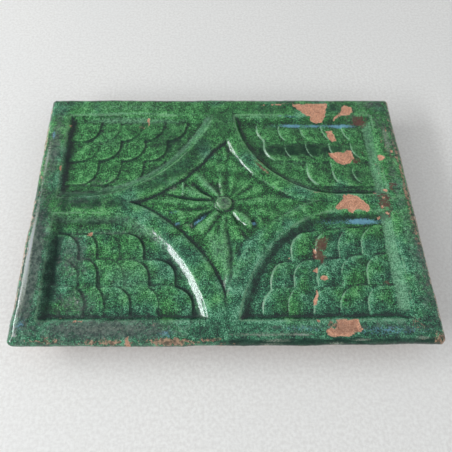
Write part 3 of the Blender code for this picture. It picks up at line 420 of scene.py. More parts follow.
def build_maps():
    x, y = np.meshgrid(GX, GY)
    wx = x + 0.5 * noise(x, y, 26, 1) + 0.28 * noise(x, y, 9, 2)
    wy = y + 0.5 * noise(x, y, 26, 3) + 0.28 * noise(x, y, 9, 4)
    z = soften(face_relief(wx, wy), 0.55 / CELL)
    plain = z.copy()
    z = z + 0.28 * noise(x, y, 34, 5) + 0.10 * noise(x, y, 11, 6) + 0.035 * noise(x, y, 4.5, 7) + 0.006 * noise(x, y, 2, 8)
    chip = chip_field(x, y)
    floor = -0.55 - 0.25 * step(chip, 0.3, 4.0) + 0.12 * noise(x, y, 4, 9) + 0.06 * noise(x, y, 1.6, 10)
    z = z + np.where(chip > -0.4, floor * step(chip, -0.35, 0.25), 0)
    fine = plain - soften(plain, 1.1 / CELL)
    gy, gx = np.gradient(soften(plain, 1.0 / CELL), CELL)
    # pooled glaze darkens the hollows; it is kept mostly where a slope faces away from the light, so there it is
    # painted shade too
    fine = np.where(fine < 0, fine * (1 - 0.75 * step(0.95 * gx + 0.2 * gy, 0.0, 0.25)), fine)
    fine = np.where(fine < 0, fine * (1 - 0.5 * step(star_distance(wx, wy), 3.0, 5.0)), fine)
    sy, sx = np.gradient(plain, CELL)
    steep = np.hypot(sx, sy)
    facing = sx / np.maximum(steep, 1e-3)
    wide = plain - soften(plain, 3.2 / CELL)
    # painted light on the outer walls of the right panels and along the arcs of the left panels, painted highlights on
    # the left edges of the scales in the right panels, and painted shade over the upper left rib, near the top between
    # the upper panels, along the lower right arc and on walls turned from the light
    painted_wall_light, painted_edge_highlight, painted_shade_mask = np.zeros_like(x), np.zeros_like(x), np.zeros_like(x)
    ribs = step(-star_distance(wx, wy), 0.5, 2.0) * step(arc_distance(wx, wy, RIBS["UL"][0], RIBS["UL"][1]), 0.5, 2.0)
    painted_shade_mask = np.maximum(painted_shade_mask, 0.62 * ribs * step(-x, 4, 16) * step(y, 6, 16) * (1 - step(-x, 124, 134)) * (1 - step(y, 78, 90)))
    painted_shade_mask = np.maximum(painted_shade_mask, 0.55 * np.exp(-((x + 2) / 14) ** 2 - ((y - 82) / 16) ** 2))
    for name in RIBS:
        d, share, u, v = panel_distance(wx, wy, name)
        painted_shade_mask = np.maximum(painted_shade_mask, step(steep, 0.22, 0.6) * (1 - step(facing, -0.2, 0.5)) * step(share, 0.9, 1.1))
        inside = -arc_distance(wx, wy, RIBS[name][0], RIBS[name][1])
        if name == "LR":
            painted_shade_mask = np.maximum(painted_shade_mask, 0.6 * step(inside, 0.8, 2.5) * (1 - step(inside, 5.0, 8.0)) * step(d, 0.2, 1.5))
        if name in ("UL", "LL"):
            band = step(inside, 0.3, 2.0) * (1 - step(inside, 6.0, 8.5)) * step(d, 0.2, 1.5)
            painted_wall_light = np.maximum(painted_wall_light, (0.62 if name == "UL" else 0.42) * band)
        if name[1] == "R":
            painted_wall_light = np.maximum(painted_wall_light, (0.62 if name == "UR" else 0.76) * step(u, 0.2, 1.4) * (1 - step(u, 7.5, 10.0)) * step(d, 0.2, 1.5) * step(v, 4.0, 9.0))
            painted_edge_highlight = np.maximum(painted_edge_highlight, step(sx, 0.20, 0.5) * step(share, 0.95, 1.2) * step(u, 11.0, 14.0))
    # painted shade in the rosette's deepest grooves and painted light on its lightest ridges and flanks
    painted_groove_shade, painted_ridge_light = np.zeros_like(x), np.zeros_like(x)
    for k, much in ((0, 0.9), (1, 0.7), (2, 0.9), (3, 0.4), (4, 1.1), (7, 0.8), (9, 1.1), (10, 0.5), (14, 0.4)):
        painted_groove_shade = np.maximum(painted_groove_shade, much * stroke(wx, wy, GROOVES[k], 1.3) / max(q[3] for q in GROOVES[k]))
    for k, much in ((1, 0.75), (21, 0.55), (16, 0.5), (11, 0.5), (13, 0.6), (22, 0.9), (0, 0.35), (18, 0.4), (8, 0.35)):
        painted_ridge_light = np.maximum(painted_ridge_light, much * stroke(wx, wy, LEAVES[k][1], 1.3) / max(q[3] for q in LEAVES[k][1]))
    uneven = 0.85 + 0.35 * noise(x, y, 5.0, 64)
    # besides stains and wear, these maps hold painted shade, painted light and painted sheen
    return {"z": z, "chip": chip, "fine": fine, "wide": wide, "level": plain,
            "red": blots(x, y, RED), "brown": blots(x, y, BROWN), "blue_glaze_and_painted_sheen": blots(x, y, BLUE_GLAZE_AND_PAINTED_SHEEN), "pale": blots(x, y, PALE_WEAR_AND_PAINTED_HIGHLIGHT), "painted_shade_and_dark_glaze": np.maximum.reduce([blots(x, y, PAINTED_SHADE_AND_DARK_GLAZE) * uneven, 0.85 * painted_shade_mask, painted_groove_shade]),
            "thin": np.maximum.reduce([blots(x, y, THIN_GLAZE_AND_PAINTED_LIGHT), painted_wall_light, painted_ridge_light]), "film_and_painted_sheen": blots(x, y, FILM_AND_PAINTED_SHEEN) * (1 - 0.85 * np.clip(blots(x, y, PAINTED_SHADE_AND_DARK_GLAZE), 0, 1)), "painted_edge_highlight": painted_edge_highlight}


MAPS = build_maps()


def sample(name, x, y):
    m = MAPS[name]
    i = np.clip((x - GX[0]) / CELL, 0, len(GX) - 1.001)
    j = np.clip((y - GY[0]) / CELL, 0, len(GY) - 1.001)
    i0, j0 = i.astype(int), j.astype(int)
    fi, fj = i - i0, j - j0
    return ((m[j0, i0] * (1 - fi) + m[j0, i0 + 1] * fi) * (1 - fj)
            + (m[j0 + 1, i0] * (1 - fi) + m[j0 + 1, i0 + 1] * fi) * fj)


# ---- the body ---------------------------------------------------------------------------------
MESH_STEP = 0.62
HALF_X, HALF_Y = LENGTH / 2 - EDGE_RUN, WIDTH / 2 - EDGE_RUN
CORNER_SPAN = 6.0


def border_stations(nx, ny):
    """Outline of the face proper, anticlockwise: (which side, place along it)."""
    xs, ys = np.linspace(-HALF_X, HALF_X, nx)[:-1], np.linspace(-HALF_Y, HALF_Y, ny)[:-1]
    side = np.concatenate([np.full(nx - 1, k % 2) * 0 + k for k in (0,)] + [np.full(ny - 1, 1), np.full(nx - 1, 2),
                          np.full(ny - 1, 3)])
    return side, np.concatenate([xs, ys, xs, ys])


def outline(side, mark, half_x, half_y, radius):
    """Rounded rectangle through one point for each station."""
    along_x = side % 2 == 0
    half = np.where(along_x, HALF_X, HALF_Y)
    own, other = np.where(along_x, half_x, half_y), np.where(along_x, half_y, half_x)
    span = half - CORNER_SPAN
    t = np.clip((np.abs(mark) - span) / CORNER_SPAN, 0, 1) * math.pi / 4
    s = np.sign(mark)
    p = np.where(np.abs(mark) <= span, mark / span * (own - radius), s * (own - radius + radius * np.sin(t)))
    q = -(other - radius + radius * np.cos(t))
    turn = side * (math.pi / 2)
    c, n = np.round(np.cos(turn)), np.round(np.sin(turn))
    return c * p - n * q, n * p + c * q


def build_tile():
    nx, ny = int(2 * HALF_X / MESH_STEP) // 4 * 4 + 1, int(2 * HALF_Y / MESH_STEP) // 4 * 4 + 1
    xs, ys = np.linspace(-HALF_X, HALF_X, nx), np.linspace(-HALF_Y, HALF_Y, ny)
    gx, gy = np.meshgrid(xs, ys)
    verts = [np.stack([gx.ravel(), gy.ravel(), FACE_Z + sample("z", gx, gy).ravel()], 1)]
    index = np.arange(nx * ny).reshape(ny, nx)
    a, b, c, d = index[:-1, :-1].ravel(), index[:-1, 1:].ravel(), index[1:, 1:].ravel(), index[1:, :-1].ravel()
    z = verts[0][:, 2]
    flat = np.abs(z[a] - z[c]) < np.abs(z[b] - z[d])
    tris = [np.where(flat[:, None], np.stack([a, b, c], 1), np.stack([a, b, d], 1)),
            np.where(flat[:, None], np.stack([a, c, d], 1), np.stack([b, c, d], 1))]
    last = np.concatenate([index[0, :-1], index[:-1, -1], index[-1, :0:-1], index[:0:-1, 0]])
    side, mark = border_stations(nx, ny)
    count = nx * ny
    edge_z = z[last]

    def strip(new):
        n = len(last)
        if len(new) == n:
            r = np.roll(np.arange(n), -1)
            tris.extend([np.stack([last, new, new[r]], 1), np.stack([last, new[r], last[r]], 1)])
            return
        m = len(new)                                     # four stations gather into one
        k = np.arange(m)
        f = [last[(4 * k + i) % n] for i in range(5)]
        e = new[(k + 1) % m]
        tris.extend([np.stack([f[0], new, f[1]], 1), np.stack([f[1], new, f[2]], 1), np.stack([f[2], new, e], 1),
                     np.stack([f[2], e, f[3]], 1), np.stack([f[3], e, f[4]], 1)])

    def ring(px, py, pz):
        nonlocal last, count
        verts.append(np.stack([px, py, pz], 1))
        new = np.arange(count, count + len(px))
        count += len(px)
        strip(new)
        last = new

    hx, hy = LENGTH / 2, WIDTH / 2

    def worn(px, py, pz, much=1.0):
        """Hand-made, knocked outline: sides swell and sag, edges are nibbled."""
        swell = 0.5 * noise(px + py * 0.7, pz * 2 + py, 23, 21) + 0.22 * noise(px + py, pz * 3, 7, 22)
        nick = 0.12 * noise(px + py, pz + px - py, 2.4, 23)
        r = np.hypot(px / hx, py / hy)
        push = (swell + nick) * much
        nxo, nyo = np.clip((np.abs(px) - hx + 9) / 9, 0, 1) * np.sign(px), np.clip((np.abs(py) - hy + 9) / 9, 0, 1) * np.sign(py)
        lean = np.where(px < 0, 0.7, -0.5) * much         # the left side stands out more than the right
        return px + (push + lean) * nxo, py + push * nyo

    for t in np.radians((12, 24, 35, 45, 54, 63, 72, 81, 90)):
        inset = EDGE_RUN * (1 - math.sin(t))
        px, py = outline(side, mark, hx - inset, hy - inset, max(CORNER_R - inset, 0.6))
        pz = edge_z * (1 - step(t, 0, 1.5)) + (FACE_Z - 0.1) * step(t, 0, 1.5)
        drop = EDGE_DROP * (1 - math.cos(t))
        lump = 0.25 * noise(px, py, 13, 24) + 0.12 * noise(px, py, 4, 25)
        px, py = worn(px, py, np.full_like(px, FACE_Z - drop), float(step(t, 0.1, 1.3)))
        ring(px, py, pz - drop + lump * float(step(t, 0.1, 0.8)))
    back = FACE_Z - PLATE
    top = FACE_Z - EDGE_DROP
    for f in (0.2, 0.4, 0.6, 0.8, 1.0):
        low = back + 1.3
        pz = np.full(len(side), top + (low - top) * f)
        px, py = outline(side, mark, hx - SIDE_DRAFT * f, hy - SIDE_DRAFT * f, CORNER_R - 0.5 * f)
        px, py = worn(px, py, pz)
        ring(px, py, pz + 0.15 * noise(px, py, 9, 26))
    side4, mark4 = side[::4], mark[::4]

    def low_ring(half_x, half_y, radius, z, rough=0.35, size=16, seed=30):
        px, py = outline(side4, mark4, half_x, half_y, radius)
        lump = rough * noise(px + z * 0.7, py - z * 0.6, size, seed) + 0.3 * rough * noise(px + z, py + z, size / 4, seed + 1)
        r = np.hypot(px, py)
        ring(px + lump * px / r, py + lump * py / r, np.full(len(px), float(z)) if np.isscalar(z) else z)

    px, py = outline(side4, mark4, hx - SIDE_DRAFT - 1.2, hy - SIDE_DRAFT - 1.2, CORNER_R - 1.2)
    ring(px, py, np.full(len(px), back) + 0.12 * noise(px, py, 6, 31))
    rx, ry = hx - RUMP_INSET, hy - RUMP_INSET
    for f in (0.25, 0.5, 0.75):
        mx, my = hx - SIDE_DRAFT - 1.2 - (RUMP_INSET - 2.2) * f, hy - SIDE_DRAFT - 1.2 - (RUMP_INSET - 2.2) * f
        px, py = outline(side4, mark4, mx, my, CORNER_R + (RUMP_CORNER_R - CORNER_R) * f)
        ring(px, py, back + 0.25 * noise(px, py, 12, 32) + 0.1 * noise(px, py, 4, 33))
    low_ring(rx + 0.8, ry + 0.8, RUMP_CORNER_R, back - 0.2, 0.2)
    low_ring(rx, ry, RUMP_CORNER_R, back - 1.4, 0.3)
    tx, ty = rx - RUMP_TAPER, ry - RUMP_TAPER
    for f in np.linspace(0.1, 1, 14):
        z = (back - 1.4) + (RIM_ROUND - back + 1.4) * f
        # wheel marks: shallow grooves running round the rump
        groove = 0.25 * math.sin(z * 1.1) + 0.15 * math.sin(z * 2.7 + 1)
        low_ring(rx - RUMP_TAPER * f + groove, ry - RUMP_TAPER * f + groove, RUMP_CORNER_R, z)
    low_ring(tx - RIM_ROUND * 0.3, ty - RIM_ROUND * 0.3, RUMP_CORNER_R, RIM_ROUND * 0.3, 0.25)
    low_ring(tx - RIM_ROUND, ty - RIM_ROUND, RUMP_CORNER_R - 1, 0.0, 0.2)
    ix, iy = tx - RUMP_WALL, ty - RUMP_WALL
    for f in (0.33, 0.66):
        mx, my = tx - RIM_ROUND + (ix - tx + 2 * RIM_ROUND) * f, ty - RIM_ROUND + (iy - ty + 2 * RIM_ROUND) * f
        px, py = outline(side4, mark4, mx, my, RUMP_CORNER_R - 2)
        ring(px, py, np.clip(0.12 + 0.15 * noise(px, py, 8, 34), 0, None))
    low_ring(ix + RIM_ROUND, iy + RIM_ROUND, RUMP_CORNER_R - 3, 0.0, 0.2)
    low_ring(ix + RIM_ROUND * 0.3, iy + RIM_ROUND * 0.3, RUMP_CORNER_R - 3.5, RIM_ROUND * 0.3, 0.25)
    for f in np.linspace(0.05, 1, 14):
        z = RIM_ROUND + (back - 4 - RIM_ROUND) * f
        groove = 0.3 * math.sin(z * 0.9 + 0.6)
        low_ring(ix + 0.5 * f + groove, iy + 0.5 * f + groove, RUMP_CORNER_R - 4, z)
    low_ring(ix - 0.2, iy - 0.2, RUMP_CORNER_R - 4, back - 2.2, 0.3)
    low_ring(ix - 1.4, iy - 1.4, RUMP_CORNER_R - 4, back - 1.0, 0.3)
    low_ring(ix - 4.5, iy - 4.5, RUMP_CORNER_R - 5, back - 0.1, 0.2)
    bx, by = outline(side4, mark4, ix - 4.5, iy - 4.5, RUMP_CORNER_R - 5)
    for f in np.linspace(0.985, 0.02, 44):
        px, py = bx * f, by * f
        # wipes of the hand across the back of the plate
        wipe = np.sin((px * 0.35 + py * 0.94 + 6 * noise(px, py, 60, 35)) / 4.6)
        ring(px, py, back + (0.35 * wipe * noise(px, py, 40, 36) + 0.3 * noise(px, py, 18, 37)
                             + 0.12 * noise(px, py, 5, 38)) * float(step(1 - f, 0.0, 0.06)))
    verts.append(np.array([[0, 0, back]]))
    n = len(last)
    tris.append(np.stack([last, np.full(n, count), np.roll(last, -1)], 1))
    return np.concatenate(verts), np.concatenate(tris)


def make_mesh(name, verts, tris):
    mesh = bpy.data.meshes.new(name)
    mesh.vertices.add(len(verts))
    mesh.vertices.foreach_set("co", (verts * MM).astype(np.float32).ravel())
    mesh.loops.add(len(tris) * 3)
    mesh.loops.foreach_set("vertex_index", tris.astype(np.int32).ravel())
    mesh.polygons.add(len(tris))
    mesh.polygons.foreach_set("loop_start", np.arange(0, len(tris) * 3, 3, dtype=np.int32))
    mesh.update(calc_edges=True)
    mesh.validate()
    return mesh


verts, tris = build_tile()
tile = bpy.data.objects.new("glazed_stove_tile", make_mesh("glazed_stove_tile", verts, tris))
bpy.context.scene.collection.objects.link(tile)
thin = tile.modifiers.new("thin", "DECIMATE")
thin.ratio = min(1.0, 186000 / len(tris))
thin.use_collapse_triangulate = True
shown = bpy.data.meshes.new_from_object(tile.evaluated_get(bpy.context.evaluated_depsgraph_get()))
tile.modifiers.clear()
rough_mesh, tile.data = tile.data, shown
bpy.data.meshes.remove(rough_mesh)
shown.name = "glazed_stove_tile"
shown.shade_smooth()
co = np.zeros(len(shown.vertices) * 3, np.float32)
shown.vertices.foreach_get("co", co)
co = co.reshape(-1, 3).astype(float) / MM
vx, vy, vz = co.T


def attribute(name, values):
    layer = shown.attributes.new(name, "FLOAT", "POINT")
    layer.data.foreach_set("value", np.asarray(values, np.float32))


on_top = step(vz, FACE_Z - 9.5, FACE_Z - 7.0)
attribute("chip", np.where(on_top > 0, sample("chip", vx, vy), -30))
attribute("fine", sample("fine", vx, vy) * on_top)
attribute("wide", sample("wide", vx, vy) * on_top)
# stains and wear together with maps of painted light, highlights and sheen
for stain_and_painted_light_map in ("red", "blue_glaze_and_painted_sheen", "pale", "thin", "film_and_painted_sheen", "painted_edge_highlight"):
    attribute(stain_and_painted_light_map, sample(stain_and_painted_light_map, vx, vy) * on_top)
# the glaze breaks light over the shoulders of the mouldings, and a painted highlight runs along them
shoulder = np.zeros_like(vx)
for name in RIBS:
    shoulder = np.maximum(shoulder, np.exp(-((panel_distance(vx, vy, name)[0] + 0.3) / 1.1) ** 2))
shoulder = np.maximum(shoulder, 0.8 * np.exp(-((star_distance(vx, vy) + 0.2) / 0.9) ** 2))
attribute("lip_break_and_highlight", shoulder * (0.55 + 0.45 * step(noise(vx, vy, 12, 63), -0.5, 0.5)) * on_top)
# the rounded edges: rubbed pale on the left, brown on the right; painted shade on the right side, darker low on the
# left and on the far side, and darker in front from thick run glaze and painted shade
drop = FACE_Z - vz
left, right = step(-vx, 146.0, 149.0), step(vx, 146.0, 149.5)
near_side, far_side = step(-vy, 103.0, 105.0), step(vy, 104.0, 106.5)
patchy = 0.1 + 0.9 * step(noise(vx, vy, 11, 61) + 0.5 * noise(vx, vy, 3.5, 62), -0.35, 0.25)
attribute("cream", (0.85 * left * step(drop, 0.7, 2.2) * (1 - step(drop, 3.2, 6.0)) * patchy + 0.72 * right * step(drop, 0.5, 1.6)) * on_top)
attribute("painted_shade_and_dark_glaze", np.clip(sample("painted_shade_and_dark_glaze", vx, vy) + near_side * (0.12 + 0.88 * step(vx, -18, 12)) * step(drop, 0.6, 1.8) + 0.5 * left * step(drop, 5.0, 7.0)
                          + 0.5 * right * step(drop, 1.5, 3.0) + 0.4 * far_side * step(drop, 1.0, 3.0), 0, 1) * on_top)
attribute("brown", np.clip(sample("brown", vx, vy) + (0.72 * right * step(drop, 1.2, 3.0) - 0.5 * near_side * step(vx, 0, 20) * (1 - step(vx, 128, 138))), 0, 1) * on_top)
# the glaze is a warmer green inside the upper left panel, and a little so in the others and the star
warmth = np.zeros_like(vx)
for name, much in (("UL", 1.0), ("UR", 0.5)):
    warmth = np.maximum(warmth, much * step(panel_distance(vx, vy, name)[0], 1.0, 9.0))
warmth = np.maximum(warmth, 0.6 * step(star_distance(vx, vy), 1.0, 6.0)) + 0.35 * step(vy, -20, 60)
warmth = warmth - 0.7 * step(-vy, 80, 98) - 0.3 * step(-vx, 120, 136) - 0.35 * step(-vy, 15, 60)
attribute("warm", warmth * on_top)
glaze_end = FACE_Z - 9.5 + 1.6 * noise(vx + vy, vy - vx, 11, 51) + 0.8 * noise(vx + vy, vy - vx, 3.5, 52)
attribute("clay", step(glaze_end - vz, -0.5, 0.5))


# ---- material ---------------------------------------------------------------------------------
class Nodes:
    """Short hand for a node tree."""

    def __init__(self, tree):
        self.tree = tree

    def add(self, kind, values=(), **props):
        node = self.tree.nodes.new(kind)
        for key, value in props.items():
            setattr(node, key, value)
        for key, value in dict(values).items():
            if hasattr(value, "is_linked"):
                self.tree.links.new(value, node.inputs[key])
            else:
                node.inputs[key].default_value = value
        return node

    def math(self, op, a, b=0.0, c=0.0, clamp=False):
        return self.add("ShaderNodeMath", {0: a, 1: b, 2: c}, operation=op, use_clamp=clamp).outputs[0]

    def span(self, value, low, high, to_low=0.0, to_high=1.0, smooth=True):
        node = self.add("ShaderNodeMapRange", {"Value": value, "From Min": low, "From Max": high, "To Min": to_low,
                                               "To Max": to_high},
                        interpolation_type="SMOOTHSTEP" if smooth else "LINEAR", clamp=True)
        return node.outputs["Result"]

    def mix(self, factor, a, b, blend="MIX"):
        node = self.add("ShaderNodeMix", data_type="RGBA", blend_type=blend, clamp_factor=True)
        for socket, value in ((node.inputs[0], factor), (node.inputs[6], a), (node.inputs[7], b)):
            if hasattr(value, "is_linked"):
                self.tree.links.new(value, socket)
            elif isinstance(value, tuple):
                socket.default_value = (*value[:3], 1.0)
            else:
                socket.default_value = value
        return node.outputs[2]

    def noise(self, coords, scale, detail=2.0, rough=0.55, distort=0.0):
        return self.add("ShaderNodeTexNoise", {"Vector": coords, "Scale": scale, "Detail": detail, "Roughness": rough,
                                               "Distortion": distort}).outputs["Fac"]

    def ramp(self, value, stops):
        node = self.add("ShaderNodeValToRGB", {0: value})
        ramp = node.color_ramp
        while len(ramp.elements) < len(stops):
            ramp.elements.new(0.5)
        for element, (at, colour) in zip(ramp.elements, stops):
            element.position, element.color = at, (*colour, 1.0)
        return node.outputs["Color"]

    def named(self, name):
        return self.add("ShaderNodeAttribute", attribute_name=name, attribute_type="GEOMETRY").outputs["Fac"]


def glaze_material():
    mat = bpy.data.materials.new("green_lead_glaze")
    mat.use_nodes = True
    n = Nodes(mat.node_tree)
    bsdf = mat.node_tree.nodes["Principled BSDF"]
    place = n.add("ShaderNodeTexCoord").outputs["Object"]
    mm = n.add("ShaderNodeVectorMath", {0: place, 1: (1000.0, 1000.0, 1000.0)}, operation="MULTIPLY").outputs[0]
    chip, fine, wide = n.named("chip"), n.named("fine"), n.named("wide")
    red, brown, blue_glaze_and_painted_sheen, pale, clay, warm, painted_shade_and_dark_glaze, cream = (n.named(k) for k in ("red", "brown", "blue_glaze_and_painted_sheen", "pale", "clay", "warm",
                                                                        "painted_shade_and_dark_glaze", "cream"))
    thin, lip_break_and_highlight, film_and_painted_sheen, painted_edge_highlight = n.named("thin"), n.named("lip_break_and_highlight"), n.named("film_and_painted_sheen"), n.named("painted_edge_highlight")
    broad = n.noise(mm, 0.035, 3.0)
    cloud = n.noise(mm, 0.13, 4.0, 0.6)
    mottle = n.noise(mm, 0.42, 4.0, 0.65)
    speck = n.noise(mm, 1.0, 1.0, 0.5)
    broken = n.noise(mm, 0.8, 4.0, 0.7)
    speck2 = n.noise(mm, 1.7, 1.0, 0.5)
    flake = n.noise(mm, 0.32, 6.0, 0.74, 0.4)
    crackle = n.add("ShaderNodeTexVoronoi", {"Vector": mm, "Scale": 0.55, "Randomness": 1.0},
                    feature="DISTANCE_TO_EDGE").outputs["Distance"]
    # green of the glaze: thick and dark in the hollows, thin and bright on what stands proud
    def around(value, gain):
        return n.math("MULTIPLY", n.math("SUBTRACT", value, 0.5), gain)

    depth = n.math("ADD", n.span(wide, -1.2, 1.2, -0.34, 0.26, False), n.math("MULTIPLY", fine, 0.5))
    tone = n.math("ADD", n.math("ADD", around(cloud, 1.6), around(mottle, 1.0)),
                  n.math("ADD", around(speck, 1.6), around(speck2, 2.0)))
    tone = n.math("ADD", n.math("ADD", tone, depth), 0.5)
    green = n.ramp(tone, ((0.0, (0.003, 0.020, 0.008)), (0.30, (0.012, 0.075, 0.022)), (0.55, (0.030, 0.190, 0.045)),
                          (0.80, (0.065, 0.330, 0.080)), (1.0, (0.20, 0.50, 0.20))))
    cool = n.ramp(tone, ((0.0, (0.003, 0.018, 0.016)), (0.30, (0.011, 0.065, 0.038)), (0.55, (0.027, 0.155, 0.080)),
                         (0.80, (0.070, 0.290, 0.160)), (1.0, (0.22, 0.48, 0.33))))
    green = n.mix(n.span(n.math("ADD", broad, n.math("MULTIPLY", warm, -0.22)), 0.42, 0.66, 0.0, 0.85), green, cool)
    line = n.span(crackle, 0.10, 0.03)
    green = n.mix(n.math("MULTIPLY", line, 0.35), green, (0.010, 0.025, 0.016))
    # pooled glaze darkens the hollows, and where they face away from the light this is painted shade too
    pooled_glaze_and_shade = n.span(fine, -0.06, -0.26)
    green = n.mix(n.math("MULTIPLY", pooled_glaze_and_shade, 0.8), green, (0.005, 0.020, 0.016))
    # painted highlight along the ridges, where the glaze also runs thin
    ridge = n.span(n.math("ADD", fine, n.math("MULTIPLY", n.math("SUBTRACT", speck, 0.5), 0.5)), 0.16, 0.5)
    green = n.mix(n.math("MULTIPLY", ridge, 0.45), green, (0.20, 0.26, 0.17))
    # thin glaze, with painted light on walls, flanks and ridges that face the light
    light = n.mix(n.span(speck, 0.32, 0.68, 0.0, 1.0, False), (0.05, 0.20, 0.09), (0.28, 0.53, 0.33))
    green = n.mix(n.span(n.math("ADD", thin, n.math("MULTIPLY", n.math("SUBTRACT", mottle, 0.5), 1.2)), 0.1, 1.0, 0.0, 0.7),
                  green, light)
    # glaze breaking lighter over the shoulders, with a painted highlight along them
    green = n.mix(n.span(n.math("ADD", lip_break_and_highlight, n.math("MULTIPLY", n.math("SUBTRACT", broken, 0.5), 2.6)), 0.45, 1.0, 0.0, 0.6),
                  green, (0.17, 0.34, 0.19))
    # painted shade in hollows and on walls turned from the light, mixed with dark glaze patches
    uneven = n.math("ADD", n.math("MULTIPLY", n.math("SUBTRACT", speck, 0.5), 1.3), n.math("MULTIPLY", n.math("SUBTRACT", flake, 0.5), 1.2))
    shady = n.span(n.math("ADD", painted_shade_and_dark_glaze, uneven), 0.05, 0.95)
    green = n.mix(n.math("MULTIPLY", shady, 0.85), green, n.mix(mottle, (0.005, 0.013, 0.013), (0.014, 0.038, 0.026)))
    # painted highlights on the left edges of the scales in the right panels
    green = n.mix(n.span(n.math("ADD", painted_edge_highlight, n.math("MULTIPLY", n.math("SUBTRACT", broken, 0.5), 1.8)), 0.40, 1.0, 0.0, 0.62),
                  green, (0.24, 0.42, 0.27))
    # dull grey-violet film, with a painted grey reflection of the room
    film_and_sheen = n.span(n.math("ADD", film_and_painted_sheen, n.math("MULTIPLY", n.math("SUBTRACT", flake, 0.5), 2.2)), 0.10, 0.95, 0.0, 0.86)
    green = n.mix(film_and_sheen, green, n.mix(n.span(mottle, 0.34, 0.66), (0.024, 0.040, 0.036), (0.112, 0.130, 0.115)))
    # stains and wear; the blue marks also carry a painted sky sheen, and the pale marks painted highlights
    green = n.mix(n.span(n.math("ADD", red, n.math("MULTIPLY", n.math("SUBTRACT", flake, 0.5), 3.0)), 0.48, 0.86, 0.0, 0.85), green,
                  n.mix(mottle, (0.045, 0.012, 0.010), (0.16, 0.055, 0.04)))
    # blue glaze, with a painted sky sheen on walls that face the front
    green = n.mix(n.span(n.math("ADD", blue_glaze_and_painted_sheen, n.math("MULTIPLY", n.math("SUBTRACT", broken, 0.5), 2.0)), 0.28, 0.9, 0.0, 0.85),
                  green, n.mix(mottle, (0.05, 0.15, 0.24), (0.22, 0.50, 0.64)))
    # worn glaze, with painted highlights where the pale marks run along the left edge
    worn = n.span(n.math("ADD", pale, n.math("MULTIPLY", broken, 0.9)), 0.80, 1.15, 0.0, 0.8)
    green = n.mix(worn, green, n.mix(n.span(pale, 0.5, 0.85), (0.20, 0.24, 0.18), (0.38, 0.40, 0.42)))
    dirt = n.span(n.math("ADD", brown, n.math("MULTIPLY", n.math("SUBTRACT", flake, 0.5), 2.6)), 0.50, 0.72, 0.0, 0.9)
    green = n.mix(dirt, green, n.mix(n.span(mottle, 0.36, 0.64), (0.09, 0.065, 0.04), (0.42, 0.25, 0.16)))
    rubbed = n.span(n.math("ADD", cream, n.math("MULTIPLY", n.math("SUBTRACT", flake, 0.5), 2.8)), 0.52, 0.80, 0.0, 0.8)
    green = n.mix(rubbed, green, n.mix(n.span(mottle, 0.36, 0.64), (0.20, 0.13, 0.09), (0.58, 0.45, 0.35)))
    # bare clay in the chips and on the back
    grain = n.noise(mm, 0.9, 5.0, 0.7)
    bare = n.mix(n.span(grain, 0.35, 0.65), (0.40, 0.175, 0.100), (0.72, 0.375, 0.235))
    bare = n.mix(n.span(speck2, 0.56, 0.72, 0.0, 0.75), bare, (0.70, 0.50, 0.38))
    bare = n.mix(n.span(speck, 0.45, 0.31, 0.0, 0.8), bare, (0.20, 0.09, 0.055))
    bare = n.mix(n.span(flake, 0.52, 0.34, 0.0, 0.7), bare, (0.27, 0.115, 0.07))
    bare = n.mix(n.span(brown, 0.15, 0.9, 0.0, 0.55), bare, (0.20, 0.11, 0.075))
    edge = n.span(n.math("ABSOLUTE", n.math("ADD", chip, -0.15)), 0.9, 0.2)
    bare = n.mix(n.math("MULTIPLY", edge, 0.35), bare, (0.50, 0.33, 0.23))
    chipped = n.span(n.math("ADD", chip, n.math("MULTIPLY", n.math("SUBTRACT", broken, 0.5), 2.6)), -0.06, 0.10)
    back_clay = n.mix(n.span(cloud, 0.3, 0.7), (0.20, 0.105, 0.07), (0.40, 0.235, 0.165))
    back_clay = n.mix(n.span(mottle, 0.35, 0.7, 0.0, 0.6), back_clay, (0.27, 0.20, 0.15))
    back_clay = n.mix(n.span(speck2, 0.60, 0.72, 0.0, 0.5), back_clay, (0.09, 0.055, 0.04))
    colour = n.mix(chipped, green, bare)
    colour = n.mix(clay, colour, back_clay)
    bsdf.inputs["IOR"].default_value = 1.54
    mat.node_tree.links.new(colour, bsdf.inputs["Base Color"])
    # gloss
    gloss = n.math("ADD", n.span(mottle, 0.3, 0.7, 0.06, 0.09), n.span(cloud, 0.3, 0.7, 0.0, 0.04))
    gloss = n.math("ADD", gloss, n.math("MULTIPLY", n.math("ADD", n.math("ADD", worn, dirt), rubbed), 0.35))
    gloss = n.math("MAXIMUM", gloss, n.math("MULTIPLY", chipped, 0.9))
    gloss = n.math("MAXIMUM", gloss, n.math("MULTIPLY", clay, 0.88), clamp=True)
    mat.node_tree.links.new(gloss, bsdf.inputs["Roughness"])
    # deep corners mirror less of the room
    mat.node_tree.links.new(n.span(painted_shade_and_dark_glaze, 0.3, 1.0, 0.5, 0.2), bsdf.inputs["Specular IOR Level"])
    # small unevenness of the glaze, grain of the clay
    skin = n.math("ADD", n.math("MULTIPLY", n.noise(mm, 0.24, 0.0), 0.10), n.math("MULTIPLY", speck, 0.006))
    skin = n.math("SUBTRACT", skin, n.math("MULTIPLY", line, 0.012))
    rough = n.math("ADD", n.math("MULTIPLY", grain, 0.28), n.math("MULTIPLY", speck2, 0.12))
    any_clay = n.math("MAXIMUM", chipped, clay)
    relief = n.math("ADD", n.math("MULTIPLY", skin, n.math("SUBTRACT", 1.0, any_clay)), n.math("MULTIPLY", rough, any_clay))
    bump = n.add("ShaderNodeBump", {"Height": relief, "Strength": 1.0, "Distance": 0.001})
    mat.node_tree.links.new(bump.outputs["Normal"], bsdf.inputs["Normal"])
    return mat


shown.materials.clear()
shown.materials.append(glaze_material())
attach(tile, "root")
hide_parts("stove_tile")

